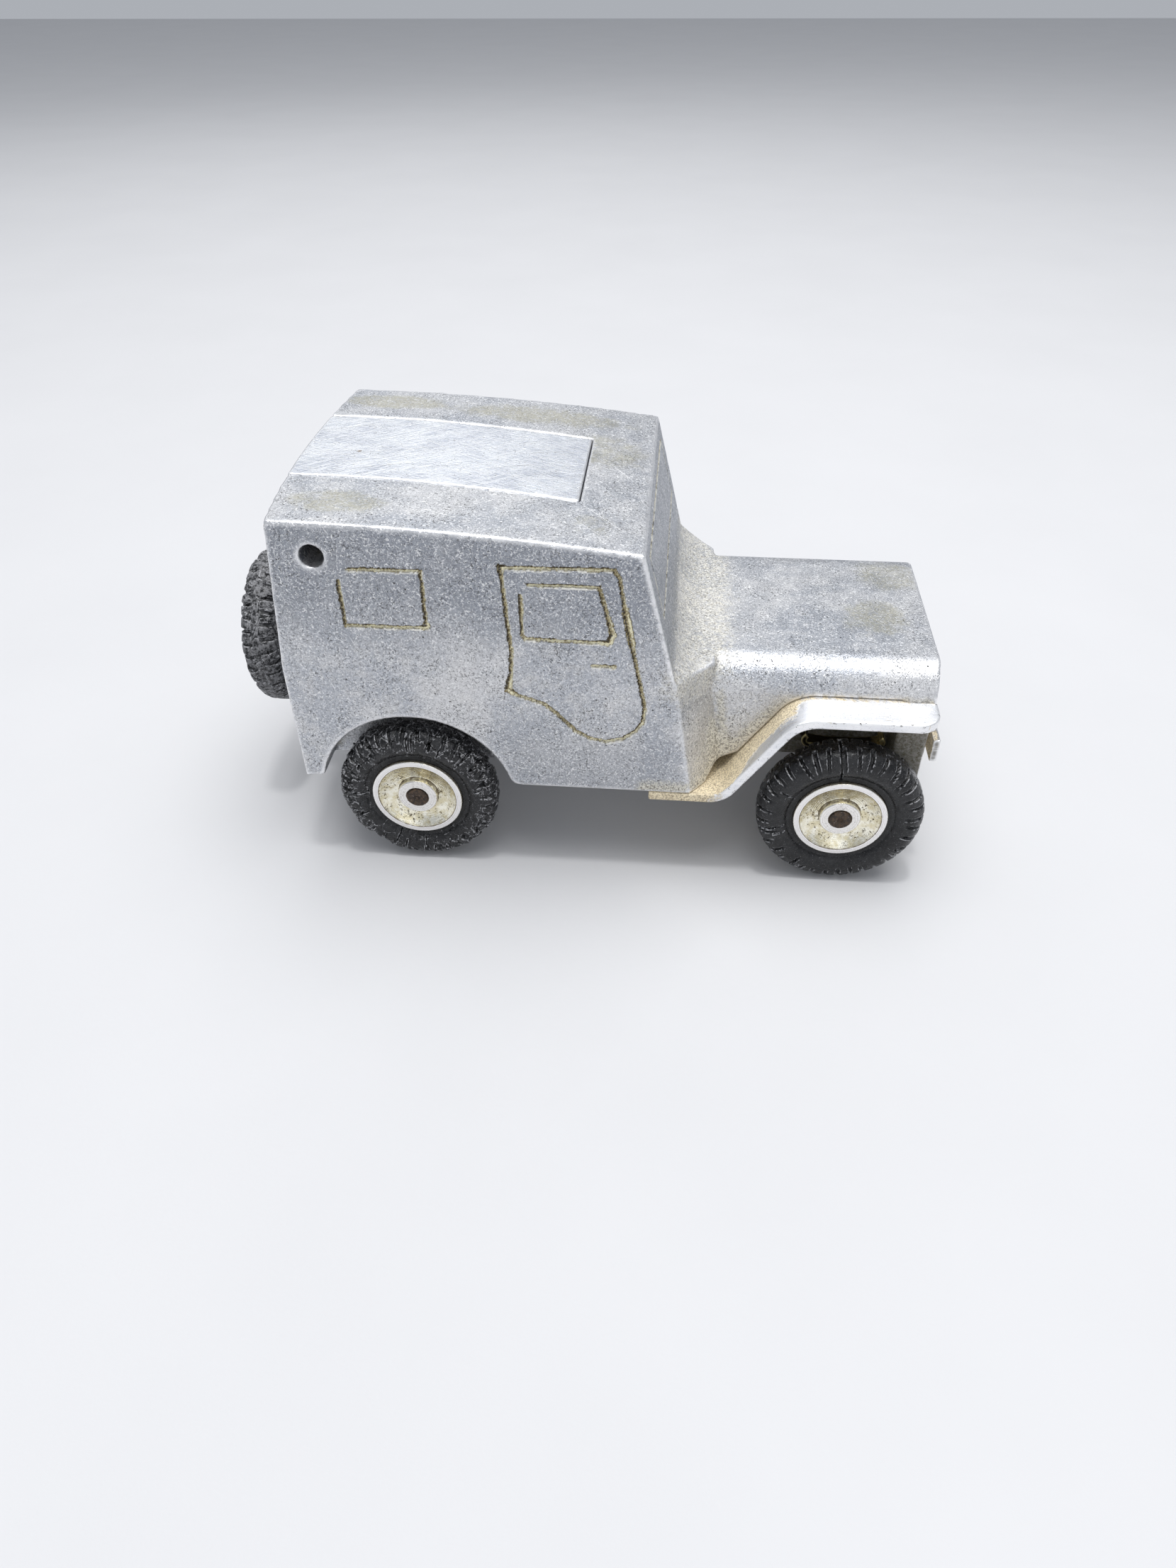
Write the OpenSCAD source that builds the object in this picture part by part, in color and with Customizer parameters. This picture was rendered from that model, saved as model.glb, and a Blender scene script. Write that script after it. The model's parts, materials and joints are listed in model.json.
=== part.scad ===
// Handmade aluminium toy field car with a hard top, a hinged roof flap and pressed-on wheels.
// The origin is on the ground, in the middle of the length and width. +X is the nose, +Y is the car's
// left side. Most modules are drawn from the rear axle: x runs forward from it and z up from its centre.

/* [Running gear] */
// Distance between the axles
wheelbase = 60; // [56:0.5:64]
// Radius of every tyre
tyre_r = 11.6; // [10.6:0.1:12.4]
// Distance of a wheel's middle plane from the car's centre
wheel_y = 20.45; // [20.2:0.05:21.5]
// Width of a tyre at its widest
tyre_w = 5.5; // [5:0.1:6]
// Radius of a hub's rim, which is also the tyre's bore
hub_r = 6.5; // [6:0.1:7]
// Radius of the axles
axle_r = 1.5; // [1.2:0.1:1.8]
// Half the length of an axle
axle_half = 23; // [22.9:0.05:24]

/* [Body] */
// Width of the cab
body_w = 44.7; // [42:0.1:45.5]
// Height of the body's lower edge above the axles
sill_z = 2.9; // [2.7:0.1:3.2]
// Height of the hood's top and the cowl's shoulder above the axles
belt_z = 21; // [20:0.1:22]
// Highest point of the roof above the axles
roof_z = 42.2; // [40:0.1:44]
// Width of the hood and nose
hood_w = 34; // [32:0.1:34.5]
// Front face of the nose, forward of the rear axle
nose_x = 71.4; // [70.5:0.1:72]
// Radius of the rear wheel arch
arch_r = 13.8; // [13:0.1:14]

/* [Roof flap] */
// Width of the flap
flap_w = 20; // [16:0.5:22]
// Front edge of the flap, forward of the rear axle
flap_x = 22.6; // [20:0.1:24]
// Thickness of the flap
flap_t = 3.2; // [2.5:0.1:3.6]
// How far the flap's hinge end stands off the car's middle, to the left
flap_shift = 1.15; // [0:0.05:1.2]
// Radius of the flap's hinge pin
pin_r = 1.25; // [1:0.05:1.4]
// Radius of the open hole in each side of the cab, in line with the pin
side_hole_r = 1.5; // [1.45:0.05:2]
// Gap round the flap
flap_gap = 0.15; // [0.1:0.05:0.3]
// Depth of the open hole on each side, down to the pin's end
pin_recess = 7.35; // [5:0.05:9]

/* [Fenders] */
// Thickness of the fender strip
fender_t = 1.4; // [1.2:0.1:1.6]
// Slope of the fender's raked part
fender_slope = 56.2; // [50:0.2:60]
// Height of the fender's top above the axles
fender_z = 16.55; // [16:0.05:17]
// Front end of the fender, forward of the rear axle
fender_x = 70.9; // [69.5:0.1:71]

/* [Spare wheel] */
// Middle plane of the spare wheel, behind the rear axle
spare_x = 24.1; // [23.8:0.1:26]
// Height of the spare wheel's centre above the axles
spare_z = 14; // [13:0.1:18]

/* [Hidden] */
$fn = 96;
far = 60;                       // larger than any cut needs

// Frame: the rear axle's centre, measured from the origin
rear_axle_x = -22.85;

// Cab outline, measured from the rear axle
half_w = body_w / 2;
hood_half = hood_w / 2;
rear_x = -15.85;                // rear wall at the lower corner
rear_belt_z = 26;               // above this the rear wall leans forward
rear_belt_x = -15.4;
rear_top_x = -14;               // rear wall at the roof
rear_bow_r = 175;               // the rear wall is bowed across its width
rear_bow_sag = rear_bow_r - sqrt(pow(rear_bow_r, 2) - pow(half_w, 2));
shoulder_x = 36.1;              // windshield foot, at the belt
sill_front_x = 38.9;            // cab's front lower corner
roof_front_x = 31.6;            // roof's front edge
roof_front_z = 39.3;
roof_r = 400;                   // fore-and-aft curve of the roof
roof_peak_x = -16.7;
windshield_lean = atan((shoulder_x - roof_front_x) / (roof_front_z - belt_z));
cowl_lean = atan((sill_front_x - shoulder_x) / (belt_z - sill_z));
cowl_turn = 39.2;               // plan angle of the facet beside the hood
cowl_edge_tilt = 42;            // slope of the narrow facet along the cowl's upper edge
cowl_fillet_r = 5;
cowl_start_x = 30;              // the cowl starts inside the cab
cowl_top_x = 41.2;              // above the hood's round edge the cowl ends here
cowl_end_x = 44;

// Hood and nose
hood_start_x = 25;              // the hood starts inside the cab
hood_edge_r = 4.5;
nose_bottom_z = 2.3;
nose_lean = 1;
nose_back_x = 66.5;             // front wall of the wheel space
nose_bow_r = 260;
rail_half = 12;                 // half width of the rail between the front wheels
well_start = [[39.1, 0], [42.2, 5], [45.3, 6.5]];   // bevel from the sill to the raked fender

// Fender: two bends joined by the raked part
fender_back_x = 33.1;
fender_bend1 = 3;               // upper radius of the rear bend
fender_bend2 = 4.5;             // lower radius of the front bend
bend1_centre = [41.4, sill_z + fender_bend1];
bend_reach = fender_bend1 + fender_bend2 + fender_t;
rake_rise = fender_z - fender_bend2 - fender_t - bend1_centre[1];
rake_run = (rake_rise + bend_reach * cos(fender_slope)) / sin(fender_slope);
bend2_centre = bend1_centre + bend_reach * [sin(fender_slope), -cos(fender_slope)]
    + rake_run * [cos(fender_slope), sin(fender_slope)];
fender_tip_r = 3;
fender_rivet_y = 14.5;
fender_rivet_xs = [36.5, 62.5]; // one in each flat part

// Rear arch
arch_x = 0.3;
arch_y = 16.6;                  // inner wall of the arch
sill_round_r = 1.5;
apron_round_r = 0.4;

// Roof flap and its hinge
pin_x = -9;
pin_z = 37.6;
knuckle_r = 7.9;                // drum on the flap that turns about the pin
knuckle_gap = 0.3;
pin_half = half_w - pin_recess;
store_x0 = 0.5;                 // storage space under the flap
store_x1 = 19.5;
store_half = 8.2;
store_z = 24;
running_gap = 0.04;

// Engraved lines
groove_w = 0.55;
groove_d = 0.3;
door_outline = [
    [14.2, 37.1], [28, 37.3], [28.6, 36.2], [30.2, 27.4], [31.7, 19.8], [32.2, 17], [31.9, 14.9],
    [31, 13.4], [29.4, 12.1], [27.2, 11.5], [24.9, 11.9], [22.9, 13.1], [20.1, 16.2],
    [18.8, 17.3], [15.4, 18.4], [14.2, 19.2], [14.7, 21.9], [14.9, 24.9], [14.4, 33.6], [14.2, 37.1]
];
door_window = [
    [16.5, 34.9], [26.2, 34.9], [27.9, 28.1], [27.4, 27], [16.8, 27.2], [16.4, 27.8], [16.5, 34.9]
];
door_handle = [[25.3, 23.6], [28.1, 23.5]];
rear_window = [[-6.2, 36.1], [4.3, 36.2], [4.3, 28.2], [-6.2, 28.1], [-6.2, 36.1]];
screen_half = 18.7;
screen_bottom = 28.6;
screen_top = 37.4;

// Hubs and tyres, measured from the wheel's middle plane, outwards
rim_face = 2.39;
rim_lip = 0.85;
hub_back = 3;                   // inner end of the rim
boss_r = 2.85;
boss_face = 2.2;
boss_back = 4.75;               // inner end of the boss
dish_depth = 1.25;
bead_half = 1.9;
bead_depth = 0.5;
tyre_round_r = 2.1;

// Bearings, screws and springs
bearing_y0 = rail_half;         // a front bearing lies against the rail
bearing_y1 = 15.2;
bearing_half = 2.6;
rear_bearing_y0 = 11;
bearing_low = 2.6;
spring_z = 6.2;
spring_w = 2.4;
spring_t = 0.8;
spring_y = 13.9;
spring_r = 30;
spring_half_angle = 9.2;
spring_eye_r = 1.25;
spring_eye_end = 55;            // angle at which the curled end stops
screw_r = 0.9;
screw_z = 4.6;
screw_head_r = 1.5;
screw_head_t = 0.4;

// Post and collar that carry the spare wheel
post_depth = 6;                 // how deep the post is set in the body
collar_r = 4;
collar_gap = 0.05;

// Bumper
bumper_t = 1;
bumper_h = 3.6;
bumper_z = 8.9;
bumper_half = 17.6;
bumper_gap = 0.1;
bumper_rivet_y = 10;
rivet_head_r = 1.6;
rivet_head_t = 0.5;

// Points on an arc about c, from angle a0 to a1
function arc(c, r, a0, a1, n = 10) =
    [for (i = [0:n]) let (a = a0 + (a1 - a0) * i / n) [c[0] + r * cos(a), c[1] + r * sin(a)]];

module from_rear_axle() { translate([rear_axle_x, 0, tyre_r]) children(); }
module from_front_axle() { translate([rear_axle_x + wheelbase, 0, tyre_r]) children(); }

// Both sides of the car: the shape is drawn for the right side, which is at -Y
module both_sides() {
    children();
    mirror([0, 1, 0]) children();
}

// Extrudes a side view, drawn in x and z, from y0 to y1
module side_slab(y0, y1) {
    translate([0, y1, 0]) rotate([90, 0, 0]) linear_extrude(y1 - y0) children();
}

// A rod along Y, given its middle and half length
module y_rod(x, z, r, half, y = 0) {
    translate([x, y + half, z]) rotate([90, 0, 0]) cylinder(r = r, h = 2 * half);
}

// Rectangle with round corners, from exact squares and circles
module round_rect(x0, y0, x1, y1, r) {
    translate([x0 + r, y0]) square([x1 - x0 - 2 * r, y1 - y0]);
    translate([x0, y0 + r]) square([x1 - x0, y1 - y0 - 2 * r]);
    for (x = [x0 + r, x1 - r]) for (y = [y0 + r, y1 - r]) translate([x, y]) circle(r = r);
}

// ---- Body ----

// Everything under the roof's long curve
module under_roof() {
    translate([roof_peak_x, roof_z - roof_r]) circle(r = roof_r, $fn = 360);
}

// Side view of the cab; its rear end is left long for the bowed wall to be cut
module cab_side() {
    intersection() {
        polygon([
            [rear_x - 2 * rear_bow_sag, sill_z], [rear_x - 2 * rear_bow_sag, roof_z + 1],
            [roof_front_x - tan(windshield_lean) * (roof_z + 1 - roof_front_z), roof_z + 1],
            [shoulder_x, belt_z], [sill_front_x, sill_z]
        ]);
        under_roof();
    }
}

// Everything ahead of the upper part of the rear wall, which is bowed and leans forward
module ahead_of_upper_rear() {
    translate([rear_belt_x, 0, rear_belt_z])
        rotate([0, atan((rear_top_x - rear_belt_x) / (roof_z - rear_belt_z)), 0])
            translate([rear_bow_r - rear_bow_sag, 0, -far])
                cylinder(r = rear_bow_r, h = 3 * far, $fn = 360);
}

// Half space in front of a facet that passes through the cowl's right shoulder
module cowl_facet_cut(tilt) {
    translate([shoulder_x, -half_w, belt_z]) rotate([0, -tilt, -cowl_turn])
        translate([0, -far, -far]) cube([far, 2 * far, 2 * far]);
}

// The cowl narrows the cab to the hood
module cowl() {
    difference() {
        side_slab(-half_w, half_w) {
            translate([cowl_start_x, sill_z]) square([cowl_end_x - cowl_start_x, belt_z - sill_z]);
            cowl_fillet();
        }
        both_sides() cowl_facet_cut(asin(sin(cowl_lean) * cos(cowl_turn)));
        both_sides() cowl_facet_cut(cowl_edge_tilt);
        translate([cowl_top_x, -half_w, belt_z - hood_edge_r]) cube([far, body_w, far]);
    }
}

// Hollow curve between the windshield and the cowl's top
module cowl_fillet() {
    centre = [
        shoulder_x + cowl_fillet_r * (1 - sin(windshield_lean)) / cos(windshield_lean),
        belt_z + cowl_fillet_r
    ];
    touch = centre - cowl_fillet_r * [cos(windshield_lean), sin(windshield_lean)];
    difference() {
        polygon([[cowl_start_x, belt_z], [centre[0], belt_z], touch, [cowl_start_x, touch[1]]]);
        translate(centre) circle(r = cowl_fillet_r);
    }
}

module hood_and_nose() {
    intersection() {
        translate([hood_start_x, 0, 0]) rotate([90, 0, 90]) linear_extrude(far)
            round_rect(-hood_half, -2 * hood_edge_r, hood_half, belt_z, hood_edge_r);
        side_slab(-hood_half, hood_half) polygon([
            [hood_start_x, sill_z], [nose_back_x, sill_z], [nose_back_x, nose_bottom_z],
            [nose_x, nose_bottom_z], [nose_x - tan(nose_lean) * (belt_z - nose_bottom_z), belt_z],
            [hood_start_x, belt_z]
        ]);
        translate([nose_x - nose_bow_r, 0, 0]) cylinder(r = nose_bow_r, h = far, $fn = 360);
    }
}

// Space for a front wheel, under the fender and beside the rail
module front_wheel_space() {
    side_slab(-far, -rail_half) polygon(concat(
        [[well_start[0][0], -far]], well_start, front_bend(fender_bend2 + fender_t),
        [[nose_back_x, fender_z], [nose_back_x, -far]]
    ));
}

// Space for a rear wheel, open at the sill, where its corners are rounded
module rear_wheel_space() {
    side_slab(-far, -arch_y) translate([arch_x, 0]) {
        circle(r = arch_r);
        arch_corner(1, sill_round_r);
        arch_corner(-1, apron_round_r);
    }
}

// Cut that rounds the body where the arch meets the sill
module arch_corner(side, r) {
    run = side * sqrt(pow(arch_r + r, 2) - pow(sill_z + r, 2));
    difference() {
        polygon([[0, 0], [run, sill_z + r], [run, 0]]);
        translate([run, sill_z + r]) circle(r = r);
    }
}

// Top view of the flap or, with a margin, of its slot: straight beside the knuckle, then askew
module flap_plan(margin) {
    half = flap_w / 2 + margin;
    straight_x = pin_x + knuckle_r + knuckle_gap;
    polygon([
        [-far, flap_shift - half], [straight_x, flap_shift - half], [flap_x + margin, -half],
        [flap_x + margin, half], [straight_x, flap_shift + half], [-far, flap_shift + half]
    ]);
}

// Slot for the flap, the round pocket for its knuckle, and the storage space
module flap_slot() {
    intersection() {
        side_slab(-half_w, half_w) {
            translate([-far, flap_floor()]) square([2 * far, far]);
            translate([pin_x, pin_z]) circle(r = knuckle_r + knuckle_gap);
        }
        linear_extrude(far) flap_plan(flap_gap);
    }
    translate([store_x0, -store_half, store_z])
        cube([store_x1 - store_x0, 2 * store_half, far]);
}

// Height of the ledge that carries the flap
function flap_floor() = roof_height(flap_x) - flap_t;
function roof_height(x) = roof_z - roof_r + sqrt(pow(roof_r, 2) - pow(x - roof_peak_x, 2));

// One engraved line on the right side, through points in x and z
module side_groove(points) {
    for (i = [0:len(points) - 2]) {
        step = points[i + 1] - points[i];
        translate([points[i][0], -half_w - groove_d, points[i][1]])
            rotate([0, -atan2(step[1], step[0]), 0])
                translate([-groove_w / 2, 0, -groove_w / 2])
                    cube([norm(step) + groove_w, 2 * groove_d, groove_w]);
    }
}

// Window outline on the windshield, drawn in its own plane
module screen_groove() {
    rise = (screen_top - screen_bottom) / cos(windshield_lean);
    translate([shoulder_x, 0, belt_z]) rotate([0, -windshield_lean, 0])
        translate([-groove_d, 0, (screen_bottom - belt_z) / cos(windshield_lean)])
            difference() {
                translate([0, -screen_half, 0]) cube([1, 2 * screen_half, rise]);
                translate([-1, groove_w - screen_half, groove_w])
                    cube([3, 2 * (screen_half - groove_w), rise - 2 * groove_w]);
            }
}

module body_block() {
    color([0.62, 0.63, 0.65]) from_rear_axle() difference() {
        union() {
            intersection() {
                side_slab(-half_w, half_w) cab_side();
                translate([rear_x - rear_bow_sag + rear_bow_r, 0, -far])
                    cylinder(r = rear_bow_r, h = 3 * far, $fn = 360);
                ahead_of_upper_rear();
            }
            cowl();
            hood_and_nose();
        }
        both_sides() front_wheel_space();
        both_sides() rear_wheel_space();
        flap_slot();
        y_rod(pin_x, pin_z, pin_r, far);
        both_sides() y_rod(pin_x, pin_z, side_hole_r, pin_recess, -half_w);
        both_sides() side_groove(door_outline);
        both_sides() side_groove(door_window);
        both_sides() side_groove(door_handle);
        both_sides() side_groove(rear_window);
        screen_groove();
        post_hole();
    }
}

// Blind hole for the spare wheel's post
module post_hole() {
    translate([rear_x - post_depth, 0, spare_z]) rotate([0, 90, 0])
        cylinder(r = axle_r, h = 2 * post_depth);
}

// ---- Roof flap ----

module flap_side() {
    intersection() {
        union() {
            translate([pin_x, flap_floor()]) square([far, far]);
            translate([pin_x, pin_z]) circle(r = knuckle_r);
        }
        under_roof();
    }
}

module roof_flap() {
    color([0.83, 0.84, 0.86]) from_rear_axle() difference() {
        intersection() {
            side_slab(-half_w, half_w) flap_side();
            linear_extrude(far) flap_plan(0);
            ahead_of_upper_rear();
        }
        y_rod(pin_x, pin_z, pin_r + running_gap, far);
    }
}

module flap_hinge_pin() { color([0.45, 0.42, 0.4]) from_rear_axle() y_rod(pin_x, pin_z, pin_r, pin_half); }

// ---- Fenders ----

// Side view of the bent strip
function fender_side() = concat(
    [[fender_back_x, sill_z]], rear_bend(fender_bend1), front_bend(fender_bend2 + fender_t),
    [[fender_x, fender_z], [fender_x, fender_z - fender_t]],
    reversed(front_bend(fender_bend2)), reversed(rear_bend(fender_bend1 + fender_t)),
    [[fender_back_x, sill_z - fender_t]]
);
function rear_bend(r) = arc(bend1_centre, r, -90, fender_slope - 90);
function front_bend(r) = arc(bend2_centre, r, fender_slope + 90, 90, 14);
function reversed(points) = [for (i = [1:len(points)]) points[len(points) - i]];

// Top view of the right fender: full width over the wheel, narrower beside the nose
module fender_plan() {
    tip_x = fender_x - fender_tip_r;
    tip_y = fender_tip_r - half_w;
    difference() {
        union() {
            translate([tip_x - far, -half_w]) square([far, half_w - rail_half]);
            translate([tip_x - fender_tip_r, tip_y]) square([2 * fender_tip_r, -rail_half - tip_y]);
            translate([tip_x, tip_y]) circle(r = fender_tip_r);
        }
        translate([nose_back_x, -hood_half]) square([far, hood_half]);
    }
}

module fender_shape() {
    from_rear_axle() difference() {
        intersection() {
            side_slab(-half_w, -rail_half) polygon(fender_side());
            linear_extrude(far) fender_plan();
        }
        for (x = fender_rivet_xs) translate([x, -fender_rivet_y, -far])
            cylinder(r = screw_r, h = 2 * far);
    }
}

module fender_right() { color([0.86, 0.86, 0.87]) fender_shape(); }
module fender_left() { color([0.86, 0.86, 0.87]) mirror([0, 1, 0]) fender_shape(); }

// Rivets up through the flat parts of the fenders into the body
module fender_rivets() {
    color([0.7, 0.7, 0.72]) from_rear_axle() both_sides() {
        fender_rivet(fender_rivet_xs[0], sill_z);
        fender_rivet(fender_rivet_xs[1], fender_z);
    }
}

module fender_rivet(x, top) {
    translate([x, -fender_rivet_y, top - fender_t]) {
        cylinder(r = screw_r, h = fender_t);
        translate([0, 0, -rivet_head_t]) cylinder(r = rivet_head_r, h = rivet_head_t);
    }
}

// ---- Bumper ----

module front_bumper() {
    color([0.72, 0.73, 0.75]) from_rear_axle() difference() {
        translate([nose_x + bumper_gap, -bumper_half, bumper_z - bumper_h / 2])
            cube([bumper_t, 2 * bumper_half, bumper_h]);
        bumper_rod(nose_x - bumper_t, 4 * bumper_t);
    }
}

// A pair of rods along X, of the rivets' radius
module bumper_rod(x, length) {
    both_sides() translate([x, -bumper_rivet_y, bumper_z]) rotate([0, 90, 0])
        cylinder(r = screw_r, h = length);
}

module bumper_rivets() {
    color([0.66, 0.66, 0.68]) from_rear_axle()
        bumper_rod(nose_x - bumper_gap, 2 * bumper_gap + bumper_t);
}

// ---- Axles, bearings and springs ----

module front_axle() { color([0.36, 0.27, 0.23]) from_front_axle() y_rod(0, 0, axle_r, axle_half); }
module rear_axle() { color([0.36, 0.27, 0.23]) from_rear_axle() y_rod(0, 0, axle_r, axle_half); }

// Bearing for the right end of an axle, hung on the rail's side or under the sill
module front_bearing_shape() {
    from_front_axle() difference() {
        translate([-bearing_half, -bearing_y1, -bearing_low])
            cube([2 * bearing_half, bearing_y1 - bearing_y0, bearing_low + spring_z]);
        y_rod(0, 0, axle_r + running_gap, far);
        y_rod(0, screw_z, screw_r, far);
    }
}

module rear_bearing_shape() {
    from_rear_axle() difference() {
        translate([-bearing_half, -bearing_y1, -bearing_low])
            cube([2 * bearing_half, bearing_y1 - rear_bearing_y0, bearing_low + sill_z]);
        y_rod(0, 0, axle_r + running_gap, far);
    }
}

module front_bearing_right() { color([0.6, 0.6, 0.6]) front_bearing_shape(); }
module front_bearing_left() { color([0.6, 0.6, 0.6]) mirror([0, 1, 0]) front_bearing_shape(); }
module rear_bearing_right() { color([0.6, 0.6, 0.6]) rear_bearing_shape(); }
module rear_bearing_left() { color([0.6, 0.6, 0.6]) mirror([0, 1, 0]) rear_bearing_shape(); }

// Screws that hold the front bearings to the rail
module bearing_screws() {
    color([0.5, 0.47, 0.42]) from_front_axle() both_sides() {
        y_rod(0, screw_z, screw_r, (bearing_y1 - bearing_y0) / 2, -(bearing_y1 + bearing_y0) / 2);
        y_rod(0, screw_z, screw_head_r, screw_head_t / 2, -bearing_y1 - screw_head_t / 2);
    }
}

// Leaf spring, a shallow bow with an end curled up in front and behind
module spring_side() {
    centre = [0, spring_z + spring_r];
    tip = centre + (spring_r - spring_eye_r) * [sin(spring_half_angle), -cos(spring_half_angle)];
    low_side = concat(
        arc(centre, spring_r, -90, spring_half_angle - 90, 6),
        arc(tip, spring_eye_r, spring_half_angle - 90, spring_eye_end)
    );
    top_side = concat(
        arc(tip, spring_eye_r - spring_t, spring_eye_end, spring_half_angle - 90),
        arc(centre, spring_r - spring_t, spring_half_angle - 90, -90, 6)
    );
    front_half = concat(low_side, top_side);
    last = len(front_half) - 1;
    rear_half = [for (i = [1:last - 1]) [-front_half[last - i][0], front_half[last - i][1]]];
    polygon(concat(front_half, rear_half));
}

module spring_shape() {
    from_front_axle() side_slab(-spring_y - spring_w / 2, -spring_y + spring_w / 2) spring_side();
}

module front_spring_right() { color([0.72, 0.6, 0.3]) spring_shape(); }
module front_spring_left() { color([0.72, 0.6, 0.3]) mirror([0, 1, 0]) spring_shape(); }

// ---- Wheels ----

// Revolved about Y, for the right side: +Y in the section is outwards
module wheel_turn(y) {
    translate([0, -y, 0]) rotate([90, 0, 0]) rotate_extrude($fn = 128) children();
}

module hub_section() {
    difference() {
        union() {
            translate([axle_r, -hub_back]) square([hub_r - axle_r, hub_back + rim_face]);
            translate([axle_r, -boss_back]) square([boss_r - axle_r, boss_back]);
        }
        dish_section();
        translate([axle_r - 1, boss_face]) square([boss_r - axle_r + 1, 3]);
    }
}

// The dish: a hollow ring between the boss and the rim's lip
module dish_section() {
    inner = boss_r;
    outer = hub_r - rim_lip;
    half = (outer - inner) / 2;
    r = (half * half + dish_depth * dish_depth) / (2 * dish_depth);
    translate([inner + half, rim_face - dish_depth + r]) circle(r = r);
}

module tyre_section() {
    round_rect(hub_r + bead_depth, -tyre_w / 2, tyre_r, tyre_w / 2, tyre_round_r);
    translate([hub_r, -bead_half]) square([hub_r / 2, 2 * bead_half]);
}

module right_hub() { wheel_turn(wheel_y) hub_section(); }
module right_tyre() { wheel_turn(wheel_y) tyre_section(); }

module front_right_hub() { color([0.8, 0.78, 0.7]) from_front_axle() right_hub(); }
module front_left_hub() { color([0.8, 0.78, 0.7]) from_front_axle() mirror([0, 1, 0]) right_hub(); }
module rear_right_hub() { color([0.8, 0.78, 0.7]) from_rear_axle() right_hub(); }
module rear_left_hub() { color([0.8, 0.78, 0.7]) from_rear_axle() mirror([0, 1, 0]) right_hub(); }

module front_right_tyre() { color([0.12, 0.12, 0.13]) from_front_axle() right_tyre(); }
module front_left_tyre() { color([0.12, 0.12, 0.13]) from_front_axle() mirror([0, 1, 0]) right_tyre(); }
module rear_right_tyre() { color([0.12, 0.12, 0.13]) from_rear_axle() right_tyre(); }
module rear_left_tyre() { color([0.12, 0.12, 0.13]) from_rear_axle() mirror([0, 1, 0]) right_tyre(); }

// The spare faces backwards on its post
module spare_turn() {
    translate([rear_axle_x - spare_x, 0, tyre_r + spare_z]) rotate([0, -90, 0]) rotate_extrude($fn = 128)
        children();
}

module spare_hub() { color([0.8, 0.78, 0.7]) spare_turn() hub_section(); }
module spare_tyre() { color([0.12, 0.12, 0.13]) spare_turn() tyre_section(); }

module spare_post() {
    color([0.36, 0.27, 0.23]) from_rear_axle() translate([-spare_x - rim_face, 0, spare_z])
        rotate([0, 90, 0]) cylinder(r = axle_r, h = spare_x + rim_face + rear_x + post_depth);
}

// Collar between the spare's hub and the bowed rear wall
module spare_collar() {
    color([0.62, 0.63, 0.65]) from_rear_axle() difference() {
        translate([-spare_x + boss_back, 0, spare_z]) rotate([0, 90, 0])
            cylinder(r = collar_r, h = spare_x - boss_back + rear_x - rear_bow_sag - collar_gap);
        translate([-spare_x, 0, spare_z]) rotate([0, 90, 0]) cylinder(r = axle_r, h = spare_x);
    }
}

body_block();
roof_flap();
flap_hinge_pin();
fender_right();
fender_left();
fender_rivets();
front_bumper();
bumper_rivets();
front_bearing_right();
front_bearing_left();
rear_bearing_right();
rear_bearing_left();
bearing_screws();
front_spring_right();
front_spring_left();
front_axle();
rear_axle();
front_right_hub();
front_left_hub();
rear_right_hub();
rear_left_hub();
front_right_tyre();
front_left_tyre();
rear_right_tyre();
rear_left_tyre();
spare_post();
spare_collar();
spare_hub();
spare_tyre();
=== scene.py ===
"""Looks of a handmade aluminium toy field car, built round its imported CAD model.

Lengths are in millimetres until a mesh is written (MM turns them into metres). +X is the nose, +Y is
the car's left side, +Z is up, and the origin is on the ground in the middle of the car.
"""

import itertools
import json
import math

import bmesh
import bpy
import numpy as np
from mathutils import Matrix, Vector
from mathutils.bvhtree import BVHTree
from mathutils.kdtree import KDTree


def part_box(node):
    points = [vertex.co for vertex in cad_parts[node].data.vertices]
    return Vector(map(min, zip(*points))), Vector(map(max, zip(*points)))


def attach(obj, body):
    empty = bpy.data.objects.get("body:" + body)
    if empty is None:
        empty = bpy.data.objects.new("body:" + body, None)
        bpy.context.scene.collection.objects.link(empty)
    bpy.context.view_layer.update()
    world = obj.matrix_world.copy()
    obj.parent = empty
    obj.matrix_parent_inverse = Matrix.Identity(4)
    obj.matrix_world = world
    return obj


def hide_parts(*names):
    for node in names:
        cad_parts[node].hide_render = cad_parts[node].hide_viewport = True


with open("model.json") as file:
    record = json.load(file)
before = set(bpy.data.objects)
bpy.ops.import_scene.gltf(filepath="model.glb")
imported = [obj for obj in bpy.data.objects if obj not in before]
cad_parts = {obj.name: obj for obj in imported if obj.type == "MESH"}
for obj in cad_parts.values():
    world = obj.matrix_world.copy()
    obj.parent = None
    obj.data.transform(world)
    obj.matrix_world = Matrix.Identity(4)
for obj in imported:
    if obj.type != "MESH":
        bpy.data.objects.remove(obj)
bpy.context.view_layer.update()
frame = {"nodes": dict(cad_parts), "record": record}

MM = 0.001
scene = bpy.context.scene

# ---- Driving dimensions that the frame doesn't give ----

SCREEN_FOOT = Vector((13.25, 0, 32.6))  # windshield plane: its foot and its head
SCREEN_HEAD = Vector((8.75, 0, 50.9))
GROOVE_DEPTH = 0.3
RIM_LIP = 0.85  # width of a hub's bright rim
BOSS_R = 2.85
BOSS_FACE = 2.2  # from the wheel's middle plane
DISH_DEPTH = 1.25
HUB_BACK = 3.0
AXLE_R = 1.5
BORE_R = 1.48  # within the bores in the car's sides
BEAD_DEPTH = 0.5
BEAD_HALF = 1.9
TYRE_ROUND = 2.1
LUGS = 36  # lugs on each shoulder of a tyre

# ---- How finely the pieces are made and worn ----

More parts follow.
